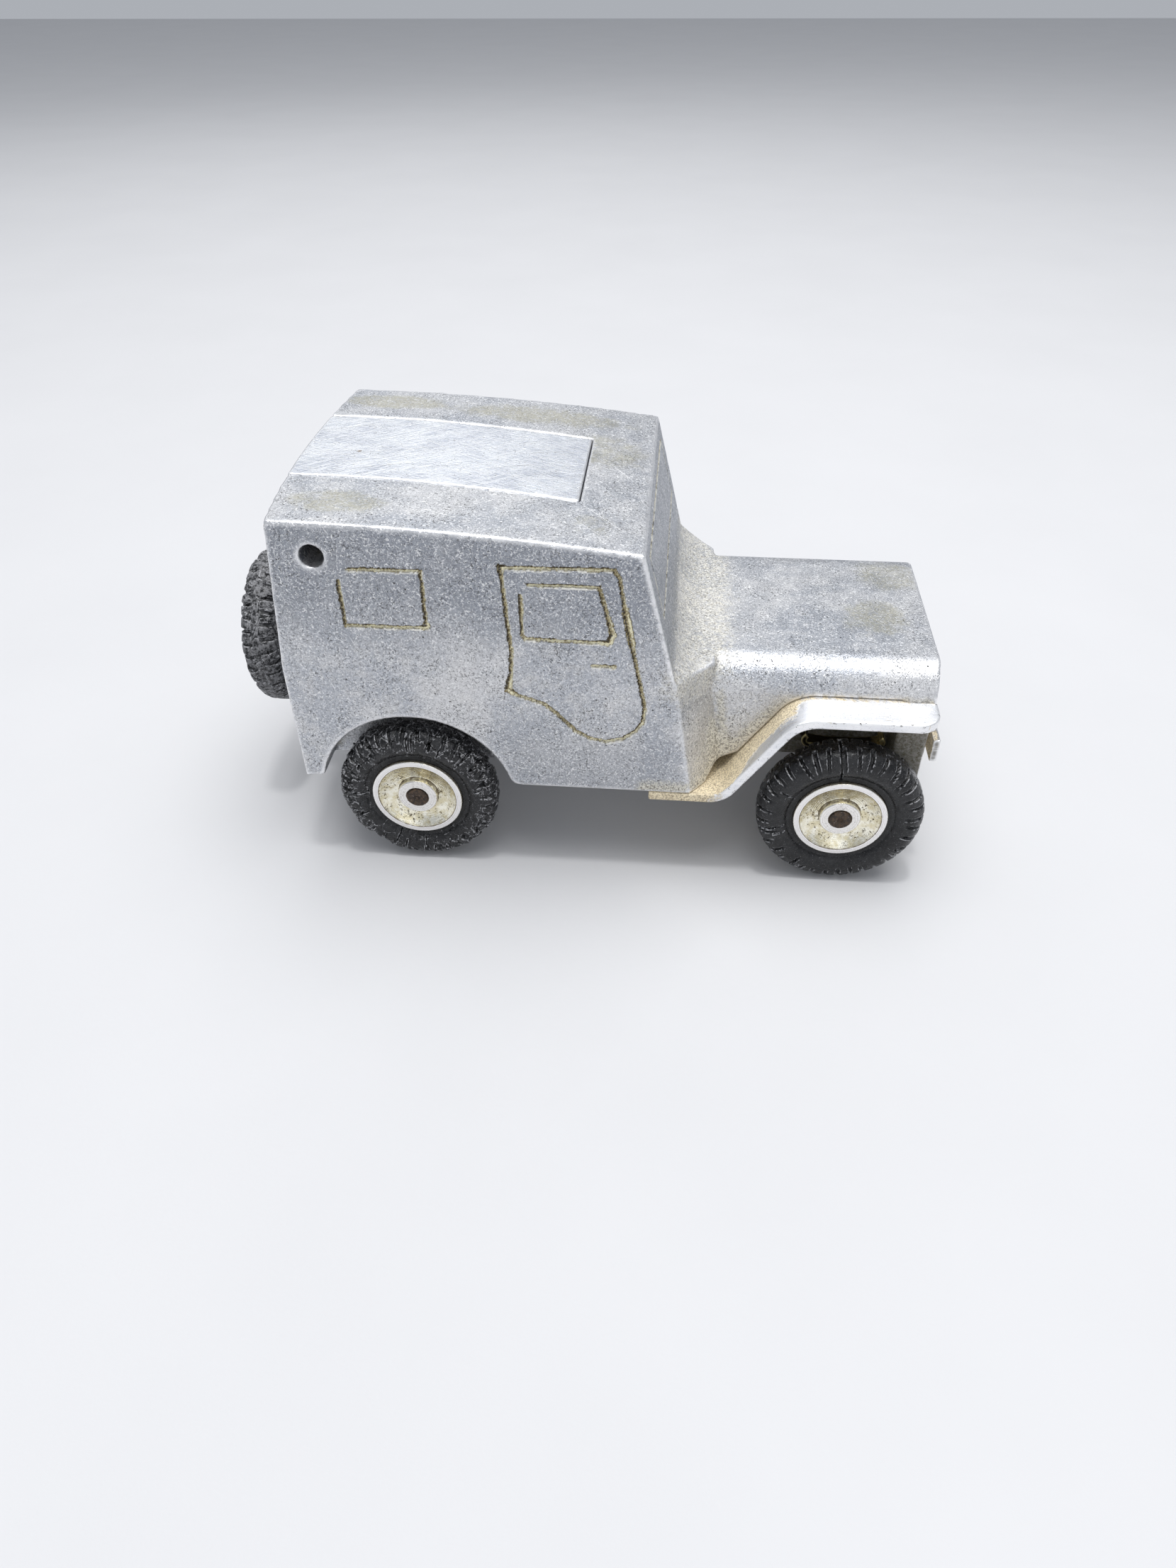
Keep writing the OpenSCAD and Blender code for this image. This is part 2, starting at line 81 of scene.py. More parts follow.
BODY_GRAIN = 0.28  # voxel sizes of the worn copies
FLAP_GRAIN = 0.2
FENDER_GRAIN = 0.2
BUMPER_GRAIN = 0.14
SPRING_GRAIN = 0.12
HOLLOW_ROUNDS = 14  # how far a hollow's mask spreads, and how much of it stays at each step
HOLLOW_KEPT = 0.93
CORNER_REACH = 6.5  # surfaces this near make a place closed in
TYRE_STEP = 0.115  # along a tyre's section
TYRE_TURNS = 660  # steps round a tyre
HUB_STEP = 0.075
HUB_TURNS = 200
AXLE_STEP = 0.06
AXLE_TURNS = 72
PLATES = 380  # into which a crumbling tyre breaks

FLIP = np.array([1, -1, 1])  # turns a point of one side into the other side's
BRIGHT = (0.98, 0.98, 0.98)  # freshly scratched aluminium
SILVER = (0.97, 0.97, 0.98)


# ---- Small tools ----


class Noise:
    """Smooth random values in space, about -1 to 1, from seeded gradients on a lattice."""

    def __init__(self, seed):
        rng = np.random.default_rng(seed)
        self.order = rng.permutation(256)
        slopes = rng.normal(size=(256, 3))
        self.slopes = slopes / np.linalg.norm(slopes, axis=1, keepdims=True)

    def __call__(self, points, size, octaves=2):
        """Values at points in an array of any shape; each octave is half as large as the one before."""
        flat = points.reshape(-1, 3)
        total = sum(self.layer(flat * (2**k / size) + 17.3 * k) * 0.5**k for k in range(octaves))
        return (total / (2 - 0.5 ** (octaves - 1))).reshape(points.shape[:-1])

    def layer(self, points):
        cell = np.floor(points).astype(int)
        part = points - cell
        fade = part**3 * (part * (part * 6 - 15) + 10)
        value = np.zeros(len(points))
        for corner in itertools.product((0, 1), repeat=3):
            at = (cell + corner) & 255
            pick = self.order[(at[:, 2] + self.order[(at[:, 1] + self.order[at[:, 0]]) & 255]) & 255]
            weight = np.where(corner, fade, 1 - fade).prod(axis=1)
            value += ((part - corner) * self.slopes[pick]).sum(axis=1) * weight
        return value * 1.6


def smooth(low, high, values):
    """0 below low, 1 above high, and an easy curve between. With low above high it falls instead."""
    t = np.clip((values - low) / (high - low), 0, 1)
    return t * t * (3 - 2 * t)


def between(low, high, values, soft):
    """1 from low to high, falling to 0 over a soft distance outside them."""
    return smooth(low - soft, low, values) * smooth(high + soft, high, values)


def lengths(vectors):
    return np.linalg.norm(vectors, axis=1)


def bell(values, width):
    """1 where the values are 0, falling off on both sides."""
    return np.exp(-((values / width) ** 2))


def read(items, name, columns, kind=float):
    """One property of all of a mesh's items, a row for each."""
    values = np.empty(len(items) * columns, kind)
    items.foreach_get(name, values)
    return values.reshape(-1, columns)


def points_of(piece):
    return read(piece.data.vertices, "co", 3) / MM


def surface(piece):
    """A piece's points and their normals."""
    return points_of(piece), read(piece.data.vertices, "normal", 3)


def move_points(mesh, points):
    mesh.vertices.foreach_set("co", (points * MM).ravel())
    mesh.update()


def set_masks(piece, **masks):
    """Stores numbers for the materials to read: one a vertex, or one for the whole piece."""
    layers = piece.data.attributes
    for name, values in masks.items():
        values = np.broadcast_to(np.ravel(values), len(piece.data.vertices))
        layer = layers.get(name) or layers.new(name, "FLOAT", "POINT")
        layer.data.foreach_set("value", values.astype(np.float32))


def get_mask(piece, name):
    return read(piece.data.attributes[name].data, "value", 1)[:, 0]


def shade_smooth(mesh):
    mesh.polygons.foreach_set("use_smooth", np.ones(len(mesh.polygons), bool))


def distances(points, centre):
    """How far each point is from a centre."""
    return lengths(points - np.array(centre))


def link(name, mesh):
    piece = bpy.data.objects.new(name, mesh)
    scene.collection.objects.link(piece)
    return piece


def apply_modifiers(piece):
    depsgraph = bpy.context.evaluated_depsgraph_get()
    piece.data = bpy.data.meshes.new_from_object(piece.evaluated_get(depsgraph))
    piece.modifiers.clear()


def grid_piece(name, points, wrap_section=True):
    """A piece from a grid of points: rows go round an axis, columns along a section."""
    rows, columns = points.shape[:2]
    index = np.arange(rows * columns).reshape(rows, columns)
    if wrap_section:
        index = np.concatenate([index, index[:, :1]], axis=1)
    index = np.concatenate([index, index[:1]], axis=0)
    quads = np.stack([index[:-1, :-1], index[1:, :-1], index[1:, 1:], index[:-1, 1:]], axis=-1)
    quads = quads.reshape(-1, 4)
    mesh = bpy.data.meshes.new(name)
    mesh.vertices.add(rows * columns)
    mesh.loops.add(quads.size)
    mesh.loops.foreach_set("vertex_index", quads.ravel())
    mesh.polygons.add(len(quads))
    mesh.polygons.foreach_set("loop_start", np.arange(0, quads.size, 4))
    move_points(mesh, points.reshape(-1, 3))
    mesh.update(calc_edges=True)
    shade_smooth(mesh)
    return link(name, mesh)


def face_outwards(piece):
    """Turns every face outwards and joins points that lie on each other."""
    edit = bmesh.new()
    edit.from_mesh(piece.data)
    bmesh.ops.remove_doubles(edit, verts=edit.verts, dist=1e-7)
    bmesh.ops.recalc_face_normals(edit, faces=edit.faces)
    edit.to_mesh(piece.data)
    edit.free()
    shade_smooth(piece.data)


def cad_tree(*nodes):
    """A search tree over CAD nodes, in millimetres."""
    points, faces = [], []
    for node in nodes:
        mesh = frame["nodes"][node].data
        start = len(points)
        points += [v.co / MM for v in mesh.vertices]
        faces += [[start + v for v in p.vertices] for p in mesh.polygons]
    return BVHTree.FromPolygons(points, faces)


def box_mm(node):
    low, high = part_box(node)
    return np.array(low) / MM, np.array(high) / MM


# ---- Worn copies of CAD nodes ----


def neighbour_mean(values, edges, count):
    """The mean of each vertex's neighbours, for values with one or more columns."""
    columns = values.reshape(len(count), -1)
    total = np.empty_like(columns)
    for k in range(columns.shape[1]):
        total[:, k] = np.bincount(edges[:, 0], columns[edges[:, 1], k], len(count))
        total[:, k] += np.bincount(edges[:, 1], columns[edges[:, 0], k], len(count))
    return (total / count[:, None]).reshape(values.shape)


def edges_of(mesh):
    """A mesh's edges as pairs of vertices, and how many edges each vertex has."""
    edges = read(mesh.edges, "vertices", 2, int)
    return edges, np.maximum(np.bincount(edges.ravel(), minlength=len(mesh.vertices)), 1)


def worn_copy(node, name, grain, rounds, flatten=None):
    """A dense copy of a CAD node, with its edges rounded off, and masks of its edges and hollows."""
    source = frame["nodes"][node]
    piece = link(name, source.data.copy())
    remesh = piece.modifiers.new("remesh", "REMESH")
    remesh.mode = "VOXEL"
    remesh.voxel_size = grain * MM
    apply_modifiers(piece)
    wrap = piece.modifiers.new("wrap", "SHRINKWRAP")
    wrap.target = source
    apply_modifiers(piece)
    piece.data.materials.clear()
    points = points_of(piece)
    if flatten:
        points = flatten(points)
    edges, count = edges_of(piece.data)
    for _ in range(rounds):
        points += 0.5 * (neighbour_mean(points, edges, count) - points)
    move_points(piece.data, points)
    shade_smooth(piece.data)
    points, normals = surface(piece)
    bend = ((neighbour_mean(points, edges, count) - points) * normals).sum(axis=1)
    for _ in range(2):
        bend = neighbour_mean(bend, edges, count)
    bend *= BODY_GRAIN / grain  # the same bend counts alike on a finer mesh
    hollow = smooth(0.002, 0.03, bend)
    for _ in range(HOLLOW_ROUNDS):
        hollow = np.maximum(hollow * HOLLOW_KEPT, neighbour_mean(hollow, edges, count))
    set_masks(piece, edge=smooth(0.004, 0.03, -bend), hollow=hollow)
    return piece


def closed_in(points, normals, tree, rays=9):
    """How closed in each point is, from 0 to 1, by rays over the half space on its outer side."""
    rng = np.random.default_rng(2)
    ways = rng.normal(size=(rays, 3))
    ways /= np.linalg.norm(ways, axis=1, keepdims=True)
    shares = np.empty(len(points))
    for k, (point, normal) in enumerate(zip(points, normals)):
        start = Vector(point + normal * 0.3)
        casts = (tree.ray_cast(start, Vector(way + normal * 1.1), CORNER_REACH) for way in ways)
        shares[k] = sum(hit[0] is not None for hit in casts) / rays
    return shares


def lay_down_dirt(piece, others, reach, from_x, where):
    """Mask of dirt beside other pieces and in closed-in places forward of from_x; where thins it."""
    points, normals = surface(piece)
    tree = cad_tree(*others)
    found = [tree.find_nearest(p, reach)[3] for p in points]
    near = 1 - np.array([reach if d is None else d for d in found]) / reach
    ahead = np.flatnonzero(points[:, 0] > from_x)
    corner = np.zeros(len(points))
    tree = cad_tree("body_block", "fender_right", "fender_left")
    corner[ahead] = closed_in(points[ahead], normals[ahead], tree)
    edges, count = edges_of(piece.data)
    for _ in range(8):
        corner = neighbour_mean(corner, edges, count)
    # The crease between windshield and hood has gathered most
    crease = lengths(points[:, (0, 2)] - (SCREEN_FOOT.x + 3, SCREEN_FOOT.z + 0.5))
    corner = np.maximum(smooth(0.02, 0.5, corner), 0.40 * smooth(7.5, 2.5, crease))
    set_masks(piece, near=np.maximum(near * where, corner * (0.4 + 0.6 * where)))


class Engraving:
    """The lines cut in one flat face, as depths read off the CAD model on a fine grid."""

    STEP = 0.1
    SPREAD = 7  # steps round a line that count as near it
    BAND = 0.6  # points within this of the plane belong to the face

    def __init__(self, tree, corner, along, up, width, height):
        self.corner, self.along, self.up = corner, along, up
        self.outward = along.cross(up)
        self.depth = np.zeros((int(width / self.STEP), int(height / self.STEP)))
        for i, j in np.ndindex(self.depth.shape):
            start = corner + along * (i * self.STEP) + up * (j * self.STEP) + self.outward
            distance = tree.ray_cast(start, -self.outward, 2)[3] or 0
            if 1 < distance < 1 + 1.5 * GROOVE_DEPTH:
                self.depth[i, j] = min(distance - 1, GROOVE_DEPTH)
        near = self.depth > 0.1
        for axis in (0, 1):
            near = np.any([np.roll(near, k, axis) for k in range(-self.SPREAD, self.SPREAD + 1)], axis=0)
        self.near = near.astype(float)

    def place(self, points):
        """How far along, up and outside the face's plane each point is."""
        return (points - np.array(self.corner)) @ np.array([self.along, self.up, self.outward]).T

    def value(self, grid, places):
        """A grid's values at places on the face, evened out between its points."""
        at = places[:, :2] / self.STEP
        inside = ((at > 0) & (at < np.array(grid.shape) - 2)).all(axis=1)
        at = np.where(inside[:, None], at, 0)
        low = np.floor(at).astype(int)
        u, v = (at - low).T
        i, j = low.T
        value = (grid[i, j] * (1 - u) + grid[i + 1, j] * u) * (1 - v)
        value += (grid[i, j + 1] * (1 - u) + grid[i + 1, j + 1] * u) * v
        return np.where(inside, value, 0)

    def is_near(self, points):
        places = self.place(points)
        return (self.value(self.near, places) > 0.01) & (np.abs(places[:, 2]) < self.BAND)

    def flatten(self, points):
        """Fills the lines: points near one go back to the face's plane."""
        off = self.place(points)[:, 2] * self.is_near(points)
        return points - off[:, None] * np.array(self.outward)

    def cut(self, points, shake, fading, broad, dot):
        """Cuts the lines again, by an unsteady hand. Returns the moved points, depths, the raised edges
        just below the lines with their painted highlight, and slopes for the painted shade and highlight
        across the lines.
        """
        wobble = np.stack([shake(points + k * 50, 0.9, 2) for k in range(3)], axis=1) * 0.10
        jitter = np.stack([shake(points + k * 90, 0.22, 1) for k in range(3)], axis=1) * 0.07
        thin = np.clip(0.64 + 0.5 * shake(points + 30, 3.5, 2), 0.15, 0.9)  # broader in some places
        places = self.place(points + wobble + jitter)
        near = self.is_near(points)

        def level_at(shift):
            depth = self.value(self.depth, places + np.array([*shift, 0]))
            return smooth(thin, 1.0, depth / GROOVE_DEPTH) * near

        level, above, below = level_at((0, 0)), level_at((-0.14, 0.2)), level_at((0.14, -0.2))
        shifts = ((0.2, 0.1), (-0.2, -0.1), (0.1, -0.2))
        wide = np.maximum.reduce([level_at(shift) for shift in shifts])
        for centre, radius in broad:
            share = smooth(radius, 0.4 * radius, distances(points, centre))
            level = np.maximum(level, wide * share)
        for centre, radius in fading:
            share = smooth(0.5 * radius, radius, distances(points, centre))
            level *= share
            above *= share
        level = np.maximum(level, smooth(0.42, 0.2, distances(points, dot)))
        depth = GROOVE_DEPTH * level * np.clip(1.1 + 0.5 * shake(points, 0.5, 2), 0.5, 1.4)
        # Just below a line the metal is raised a little and gets a painted highlight
        burr = np.clip(above - level, 0, 1)
        # 0 on a line's upper wall and 1 on its lower wall: where painted shade and painted highlight go
        slope = (0.5 + 0.5 * (above - below)) * (level > 0)
        return points - (depth - 0.03 * burr)[:, None] * np.array(self.outward), depth, burr, slope


# ---- Materials ----


class Paint:
    """Builds one material. Lengths are in millimetres, on the piece's own coordinates."""

    def __init__(self, name):
        self.material = bpy.data.materials.new(name)
        self.material.use_nodes = True
        self.nodes, self.links = self.material.node_tree.nodes, self.material.node_tree.links
        self.shader = self.nodes["Principled BSDF"]
        scale = self.node("VectorMath", Vector=self.node("TexCoord").outputs["Object"])
        scale.operation = "SCALE"
        self.feed(scale.inputs["Scale"], 1 / MM)
        self.place = scale.outputs[0]

    def node(self, kind, **inputs):
        """Adds a node and feeds its inputs, each with a number or another node's output."""
        node = self.nodes.new(f"ShaderNode{kind}")
        for name, value in inputs.items():
            self.feed(node.inputs[name], value)
        return node

    def feed(self, socket, value):
        """Gives a socket a number, another node's output or a mask by its name; None leaves it alone."""
        if isinstance(value, str):
            value = self.mask(value)
        if isinstance(value, bpy.types.NodeSocket):
            self.links.new(value, socket)
        elif value is not None:
            socket.default_value = value

    def mask(self, name):
        node = self.node("Attribute")
        node.attribute_name = name
        return node.outputs["Fac"]

    def stretched(self, stretch, turn=(0, 0, 0)):
        """Coordinates turned and then stretched, for streaks."""
        spin = self.node("Mapping", Vector=self.place, Rotation=[math.radians(a) for a in turn])
        return self.node("Mapping", Vector=spin.outputs[0], Scale=[1 / s for s in stretch]).outputs[0]

    def noise(self, size, detail=3.0, rough=0.55, place=None, twist=0.0):
        node = self.node("TexNoise", Scale=1 / size, Detail=detail, Roughness=rough, Distortion=twist)
        self.feed(node.inputs["Vector"], place or self.place)
        return node.outputs["Fac"]

    def cells(self, size):
        """Distance from the nearest of many scattered points."""
        return self.node("TexVoronoi", Scale=1 / size, Vector=self.place).outputs["Distance"]

    def sums(self, operation, a, b):
        node = self.node("Math")
        node.operation = operation
        self.feed(node.inputs[0], a)
        self.feed(node.inputs[1], b)
        return node.outputs[0]

    def times(self, *values):
        product = values[0]
        for value in values[1:]:
            product = self.sums("MULTIPLY", product, value)
        return product

    def rise(self, value, low, high, start=0.0, end=1.0):
        """An easy step from start to end as value, or the noise of these numbers, goes from low to high."""
        value = self.noise(*value) if isinstance(value, tuple) else value
        node = self.node("MapRange", Value=value)
        node.interpolation_type = "SMOOTHSTEP"
        for name, number in zip(("From Min", "From Max", "To Min", "To Max"), (low, high, start, end)):
            node.inputs[name].default_value = number
        return node.outputs[0]

    def mix(self, share, a, b):
        """A colour between a and b, which are each a colour or another node's output."""
        node = self.node("Mix")
        node.data_type = "RGBA"
        self.feed(node.inputs["Factor"], share)
        for name, colour in (("A", a), ("B", b)):
            socket = next(s for s in node.inputs if s.name == name and s.type == "RGBA")
            self.feed(socket, (*colour, 1) if isinstance(colour, tuple) else colour)
        return next(s for s in node.outputs if s.type == "RGBA")

    def coat(self, over, *shares):
        """Lays a colour over what is there, as thick as the product of the shares."""
        self.colour = self.mix(self.times(*shares), self.colour, over)

    def blend(self, share, a, b):
        """A plain number between a and b."""
        node = self.node("Mix")
        self.feed(node.inputs[0], share)
        self.feed(node.inputs[2], a)
        self.feed(node.inputs[3], b)
        return node.outputs[0]

    def threads(self, size, width, keep, place=None):
        """Thin wandering scratches, as a share from 0 to 1: parts of a noise's level lines."""
        off = self.sums("ABSOLUTE", self.sums("SUBTRACT", self.noise(size, 1.0, 0.5, place), 0.5), None)
        kept = self.rise(self.noise(0.7 * size, 2, 0.5, place), keep - 0.04, keep + 0.04)
        return self.times(self.rise(off, 0.3 * width, width, 1, 0), kept)

    def scratch(self, start, end, width):
        """One straight scratch across a level face, from start to end in x and y."""
        run = Vector(end) - Vector(start)
        length, along = run.length, run.normalized()
        reached = []
        for way in (along, Vector((-along.y, along.x))):
            node = self.node("VectorMath", Vector=self.place)
            node.operation = "DOT_PRODUCT"
            node.inputs[1].default_value = (way.x, way.y, 0)
            reached.append(self.sums("SUBTRACT", node.outputs["Value"], way.dot(Vector(start))))
        along, across = reached
        off = self.rise(self.sums("ABSOLUTE", across, None), 0.4 * width, width, 1, 0)
        begun, ended = self.rise(along, 0, 0.5), self.rise(along, length - 0.8, length, 1, 0)
        return self.times(off, begun, ended)

    def bump(self, *layers):
        """Each layer is a height from 0 to 1 and its size in millimetres."""
        normal = None
        for height, size in layers:
            node = self.node("Bump", Strength=1.0, Distance=size * MM, Height=height, Normal=normal)
            normal = node.outputs[0]
        self.feed(self.shader.inputs["Normal"], normal)

    def finish(self, metal, rough):
        self.feed(self.shader.inputs["Base Color"], self.colour)
        self.feed(self.shader.inputs["Metallic"], metal)
        self.feed(self.shader.inputs["Roughness"], rough)
        return self.material


def body_material():
    """Cast and filed aluminium: dull grey, clouded, flecked, bright at its edges, with painted shade on its
    sides, windshield, level faces and below the fenders, and painted shade and highlights in its engraved
    lines.
    """
    paint = Paint("body_aluminium")
    cloud = paint.noise(13, 4, 0.6, twist=0.5)
    patch = paint.noise(2.6, 5, 0.7)
    paint.colour = paint.mix(paint.rise(cloud, 0.36, 0.64), (0.47, 0.49, 0.53), (0.68, 0.68, 0.69))
    paint.coat((0.76, 0.75, 0.74), paint.rise(patch, 0.45, 0.68, 0, 0.5))
    # Painted shade: a blue-grey darkening where the shade mask is set
    shade = paint.times("shade", paint.rise(patch, 0.25, 0.6, 0.65, 0.9))
    paint.coat((0.30, 0.32, 0.36), shade)
    grain = paint.noise(0.22, 3, 0.65)
    paint.coat((0.20, 0.20, 0.21), paint.rise(grain, 0.46, 0.34, 0, 0.6))
    paint.coat(SILVER, paint.rise(grain, 0.55, 0.67, 0, 0.65))
    turned = paint.stretched((1, 1, 1), (30, 50, 70))
    worn = paint.rise((4.5, 3, 0.6), 0.38, 0.62, 0.35, 1.0)  # more flecks in some places
    dark = paint.times(paint.threads(0.5, 0.045, 0.50), worn)
    light = paint.threads(0.5, 0.045, 0.50, turned)
    paint.coat((0.11, 0.11, 0.11), dark, 0.85)
    paint.coat(BRIGHT, light, 0.7)
    pits = paint.times(paint.rise(paint.cells(1.3), 0.11, 0.05), paint.rise((5,), 0.48, 0.55))
    paint.coat((0.04, 0.035, 0.03), pits, 0.9)
    # Straight scratches on the roof, the first and longest from the flap's near front corner
    scored = paint.scratch((0.3, -10.9), (6.4, -17.4), 0.07)
    finer = (((-2.0, -13.6), (3.6, -19.0)), ((2.6, 3.0), (7.2, -3.4)), ((-21, -16), (-14, -18.2)))
    for start, end in finer:
        scored = paint.sums("MAXIMUM", scored, paint.scratch(start, end, 0.05))
    scored = paint.times(scored, "top")
    paint.coat(BRIGHT, scored, 0.8)
    # Yellowish oxide that has settled in patches on the upper faces
    oxide = paint.rise(paint.sums("ADD", "oxide", paint.noise(2.2, 5, 0.7)), 0.72, 1.12)
    oxide = paint.times(oxide, paint.rise((0.5, 3, 0.6), 0.36, 0.56, 0.35, 1.0))
    paint.coat((0.46, 0.44, 0.34), oxide, 0.62)
    # Worn edges
    edge = paint.times("edge", paint.rise((0.9, 3), 0.25, 0.5))
    paint.coat(SILVER, edge, 0.9)
    # Dirt in hollows and beside other pieces
    near = paint.sums("MAXIMUM", paint.times("hollow", 0.8), "near")
    dirt = paint.rise(paint.sums("ADD", near, paint.noise(0.6, 5, 0.78)), 0.62, 1.12)
    dust = paint.rise((0.26, 3, 0.7), 0.40, 0.56)
    dust = paint.mix(dust, (0.20, 0.17, 0.11), (0.86, 0.82, 0.70))
    dirt = paint.times(dirt, paint.rise(edge, 0.1, 0.7, 1.0, 0.1))
    paint.coat(dust, dirt, 0.72)
    # Painted shade, with some dirt: the nose's sides below the fenders turn a dull dark olive
    soot = paint.times("soot", paint.rise((0.5, 4, 0.7), 0.3, 0.6, 1.0, 0.72))
    paint.coat((0.115, 0.10, 0.06), soot)
    # Old polish and dirt in the engraved lines, with painted shade on their upper slope and a painted
    # highlight on their lower one
    uneven = paint.rise((0.28, 3, 0.65), 0.3, 0.7, -0.3, 0.3)
    slope = paint.sums("ADD", "slope", uneven)
    grime_shade_and_highlight = paint.mix(paint.rise(slope, 0.12, 0.52), (0.07, 0.055, 0.03), (0.46, 0.39, 0.22))
    grime_shade_and_highlight = paint.mix(paint.rise(slope, 0.58, 0.95), grime_shade_and_highlight, (1.0, 0.95, 0.70))
    patchy = paint.rise((0.35, 3, 0.6), 0.3, 0.5, 0.6, 1.0)
    filled = paint.times(paint.rise("groove", 0.10, 0.45), patchy)
    paint.coat(grime_shade_and_highlight, filled)
    # Painted highlight on the raised edges just below the lines
    burr = paint.times("burr", paint.rise((1.3, 3), 0.35, 0.6))
    paint.coat((1.0, 0.98, 0.90), burr, 0.8)
    cover = paint.sums("MAXIMUM", paint.times(dirt, 0.8), paint.times(filled, 0.6))
    cover = paint.sums("MAXIMUM", cover, soot)
    metal = paint.blend(cover, 0.92, 0.2)
    rough = paint.rise(patch, 0.3, 0.7, 0.38, 0.52)
    rough = paint.blend(edge, rough, 0.30)
    rough = paint.blend(cover, rough, 0.7)
    uneven = paint.noise(1.6, 2)
    paint.bump((grain, 0.03), (dark, -0.03), (light, 0.02), (pits, -0.08), (uneven, 0.03))
    return paint.finish(metal, rough)


def flap_material():
    """Aluminium rubbed bright with coarse paper, mostly lengthwise."""
    paint = Paint("flap_aluminium")
    paint.colour = paint.mix(paint.rise((5, 4), 0.38, 0.62), (0.50, 0.53, 0.60), (0.66, 0.69, 0.74))
    strokes = None
    for turn, size in (((0, 0, 8), 0.13), ((0, 0, -38), 0.17), ((0, 0, 31), 0.2)):
        marks = paint.noise(size, 2, 0.6, paint.stretched((34, 1, 4), turn))
        marks = paint.rise(marks, 0.51, 0.62)
        strokes = marks if strokes is None else paint.sums("MAXIMUM", strokes, marks)
    paint.coat((0.98, 0.99, 1.0), strokes, 0.8)
    gouges = paint.noise(0.3, 1, 0.5, paint.stretched((60, 1, 4), (0, 0, -21)))
    gouges = paint.times(paint.rise(gouges, 0.66, 0.72), 0.7)
    dark = paint.sums("MAXIMUM", paint.threads(0.6, 0.03, 0.56), gouges)
    paint.coat((0.30, 0.29, 0.28), dark, 0.55)
    grain = paint.noise(0.2, 3, 0.7)
    paint.coat((0.36, 0.36, 0.37), paint.rise(grain, 0.42, 0.30, 0, 0.5))
    paint.coat(BRIGHT, "edge", 0.8)
    paint.coat((0.16, 0.11, 0.06), "spot")
    metal = paint.blend("spot", 0.95, 0.2)
    rough = paint.blend(strokes, 0.42, 0.30)
    paint.bump((strokes, 0.015), (dark, -0.02), (grain, 0.02))
    return paint.finish(metal, rough)


def sheet_material():
    """Bright bent sheet, scuffed lengthwise, with beige dirt in its bends, and painted shade where its
    shade mask is set.
    """
    paint = Paint("fender_aluminium")
    paint.colour = paint.mix(paint.rise((5, 4), 0.35, 0.65), (0.82, 0.83, 0.86), (0.96, 0.96, 0.97))
    # Painted shade, as strong as the shade mask
    paint.coat((0.24, 0.23, 0.21), "shade")
    strokes = paint.rise(paint.noise(0.2, 2, 0.6, paint.stretched((18, 1.5, 1.5))), 0.48, 0.68)
    paint.coat((1.0, 1.0, 1.0), strokes, 0.6)
    grain = paint.noise(0.2, 4, 0.75)
    paint.coat((0.40, 0.39, 0.38), paint.rise(grain, 0.45, 0.32, 0, 0.6))
    nicks = paint.times(paint.rise((0.5, 3, 0.6), 0.60, 0.68), "edge")
    paint.coat(BRIGHT, "edge", 0.8)
    paint.coat((0.25, 0.24, 0.23), nicks)
    scuffs = paint.rise(paint.noise(0.3, 2, 0.6, paint.stretched((9, 1.2, 9), (0, 0, 6))), 0.62, 0.7)
    paint.coat((0.60, 0.53, 0.38), scuffs, 0.45)
    dirt = paint.rise(paint.sums("ADD", "near", paint.noise(0.8, 4, 0.7)), 0.80, 1.12)
    dust = paint.rise((0.25, 4, 0.7), 0.35, 0.6)
    dust = paint.mix(dust, (0.34, 0.26, 0.15), (0.90, 0.78, 0.54))
    paint.coat(dust, dirt, 0.92)
    metal = paint.blend(dirt, 0.92, 0.1)
    rough = paint.blend(dirt, paint.rise(strokes, 0, 1, 0.40, 0.30), 0.85)
    paint.bump((grain, 0.03), (nicks, -0.06), (scuffs, -0.015), (dirt, 0.08))
    return paint.finish(metal, rough)


def hub_material():
    """Turned aluminium: a clean bright rim, a dish dulled to champagne with dark pits, and painted shade in
    its corners.
    """
    paint = Paint("hub_aluminium")
    rings = paint.node("TexNoise", Scale=6.0, Detail=4.0)
    rings.noise_dimensions = "1D"
    paint.feed(rings.inputs["W"], "ring")
    turned = rings.outputs["Fac"]
    dull = paint.rise((1.1, 5, 0.65), 0.38, 0.62)
    dull = paint.mix(dull, (0.78, 0.71, 0.50), (1.0, 0.97, 0.84))
    clean = paint.mix(paint.rise(turned, 0.35, 0.65), (0.82, 0.79, 0.78), (0.96, 0.95, 0.94))
    paint.colour = paint.mix("polish", dull, clean)
    grain = paint.noise(0.2, 4, 0.75)
    paint.coat((0.30, 0.27, 0.22), paint.rise(grain, 0.42, 0.30, 0, 0.6))
    pits = paint.rise((0.32, 4, 0.65), 0.56, 0.64)
    pits = paint.times(pits, paint.rise((1.6, 2), 0.42, 0.55), paint.blend("polish", 1.0, 0.12))
    paint.coat((0.10, 0.065, 0.03), pits, 0.9)
    # Painted shade in the corners: the boss's foot, the lip's step, the bore and the rim's cylinder beside
    # the tyre
    corner = paint.rise(paint.sums("ADD", "corner", paint.noise(0.5, 3)), 0.75, 1.15)
    paint.coat((0.13, 0.09, 0.05), corner, 0.9)
    metal = paint.blend(paint.sums("MAXIMUM", pits, corner), 0.95, 0.3)
    rough = paint.blend("polish", 0.16, 0.28)
    rough = paint.blend(pits, rough, 0.7)
    paint.bump((turned, 0.012), (grain, 0.03), (pits, -0.05))
    return paint.finish(metal, rough)


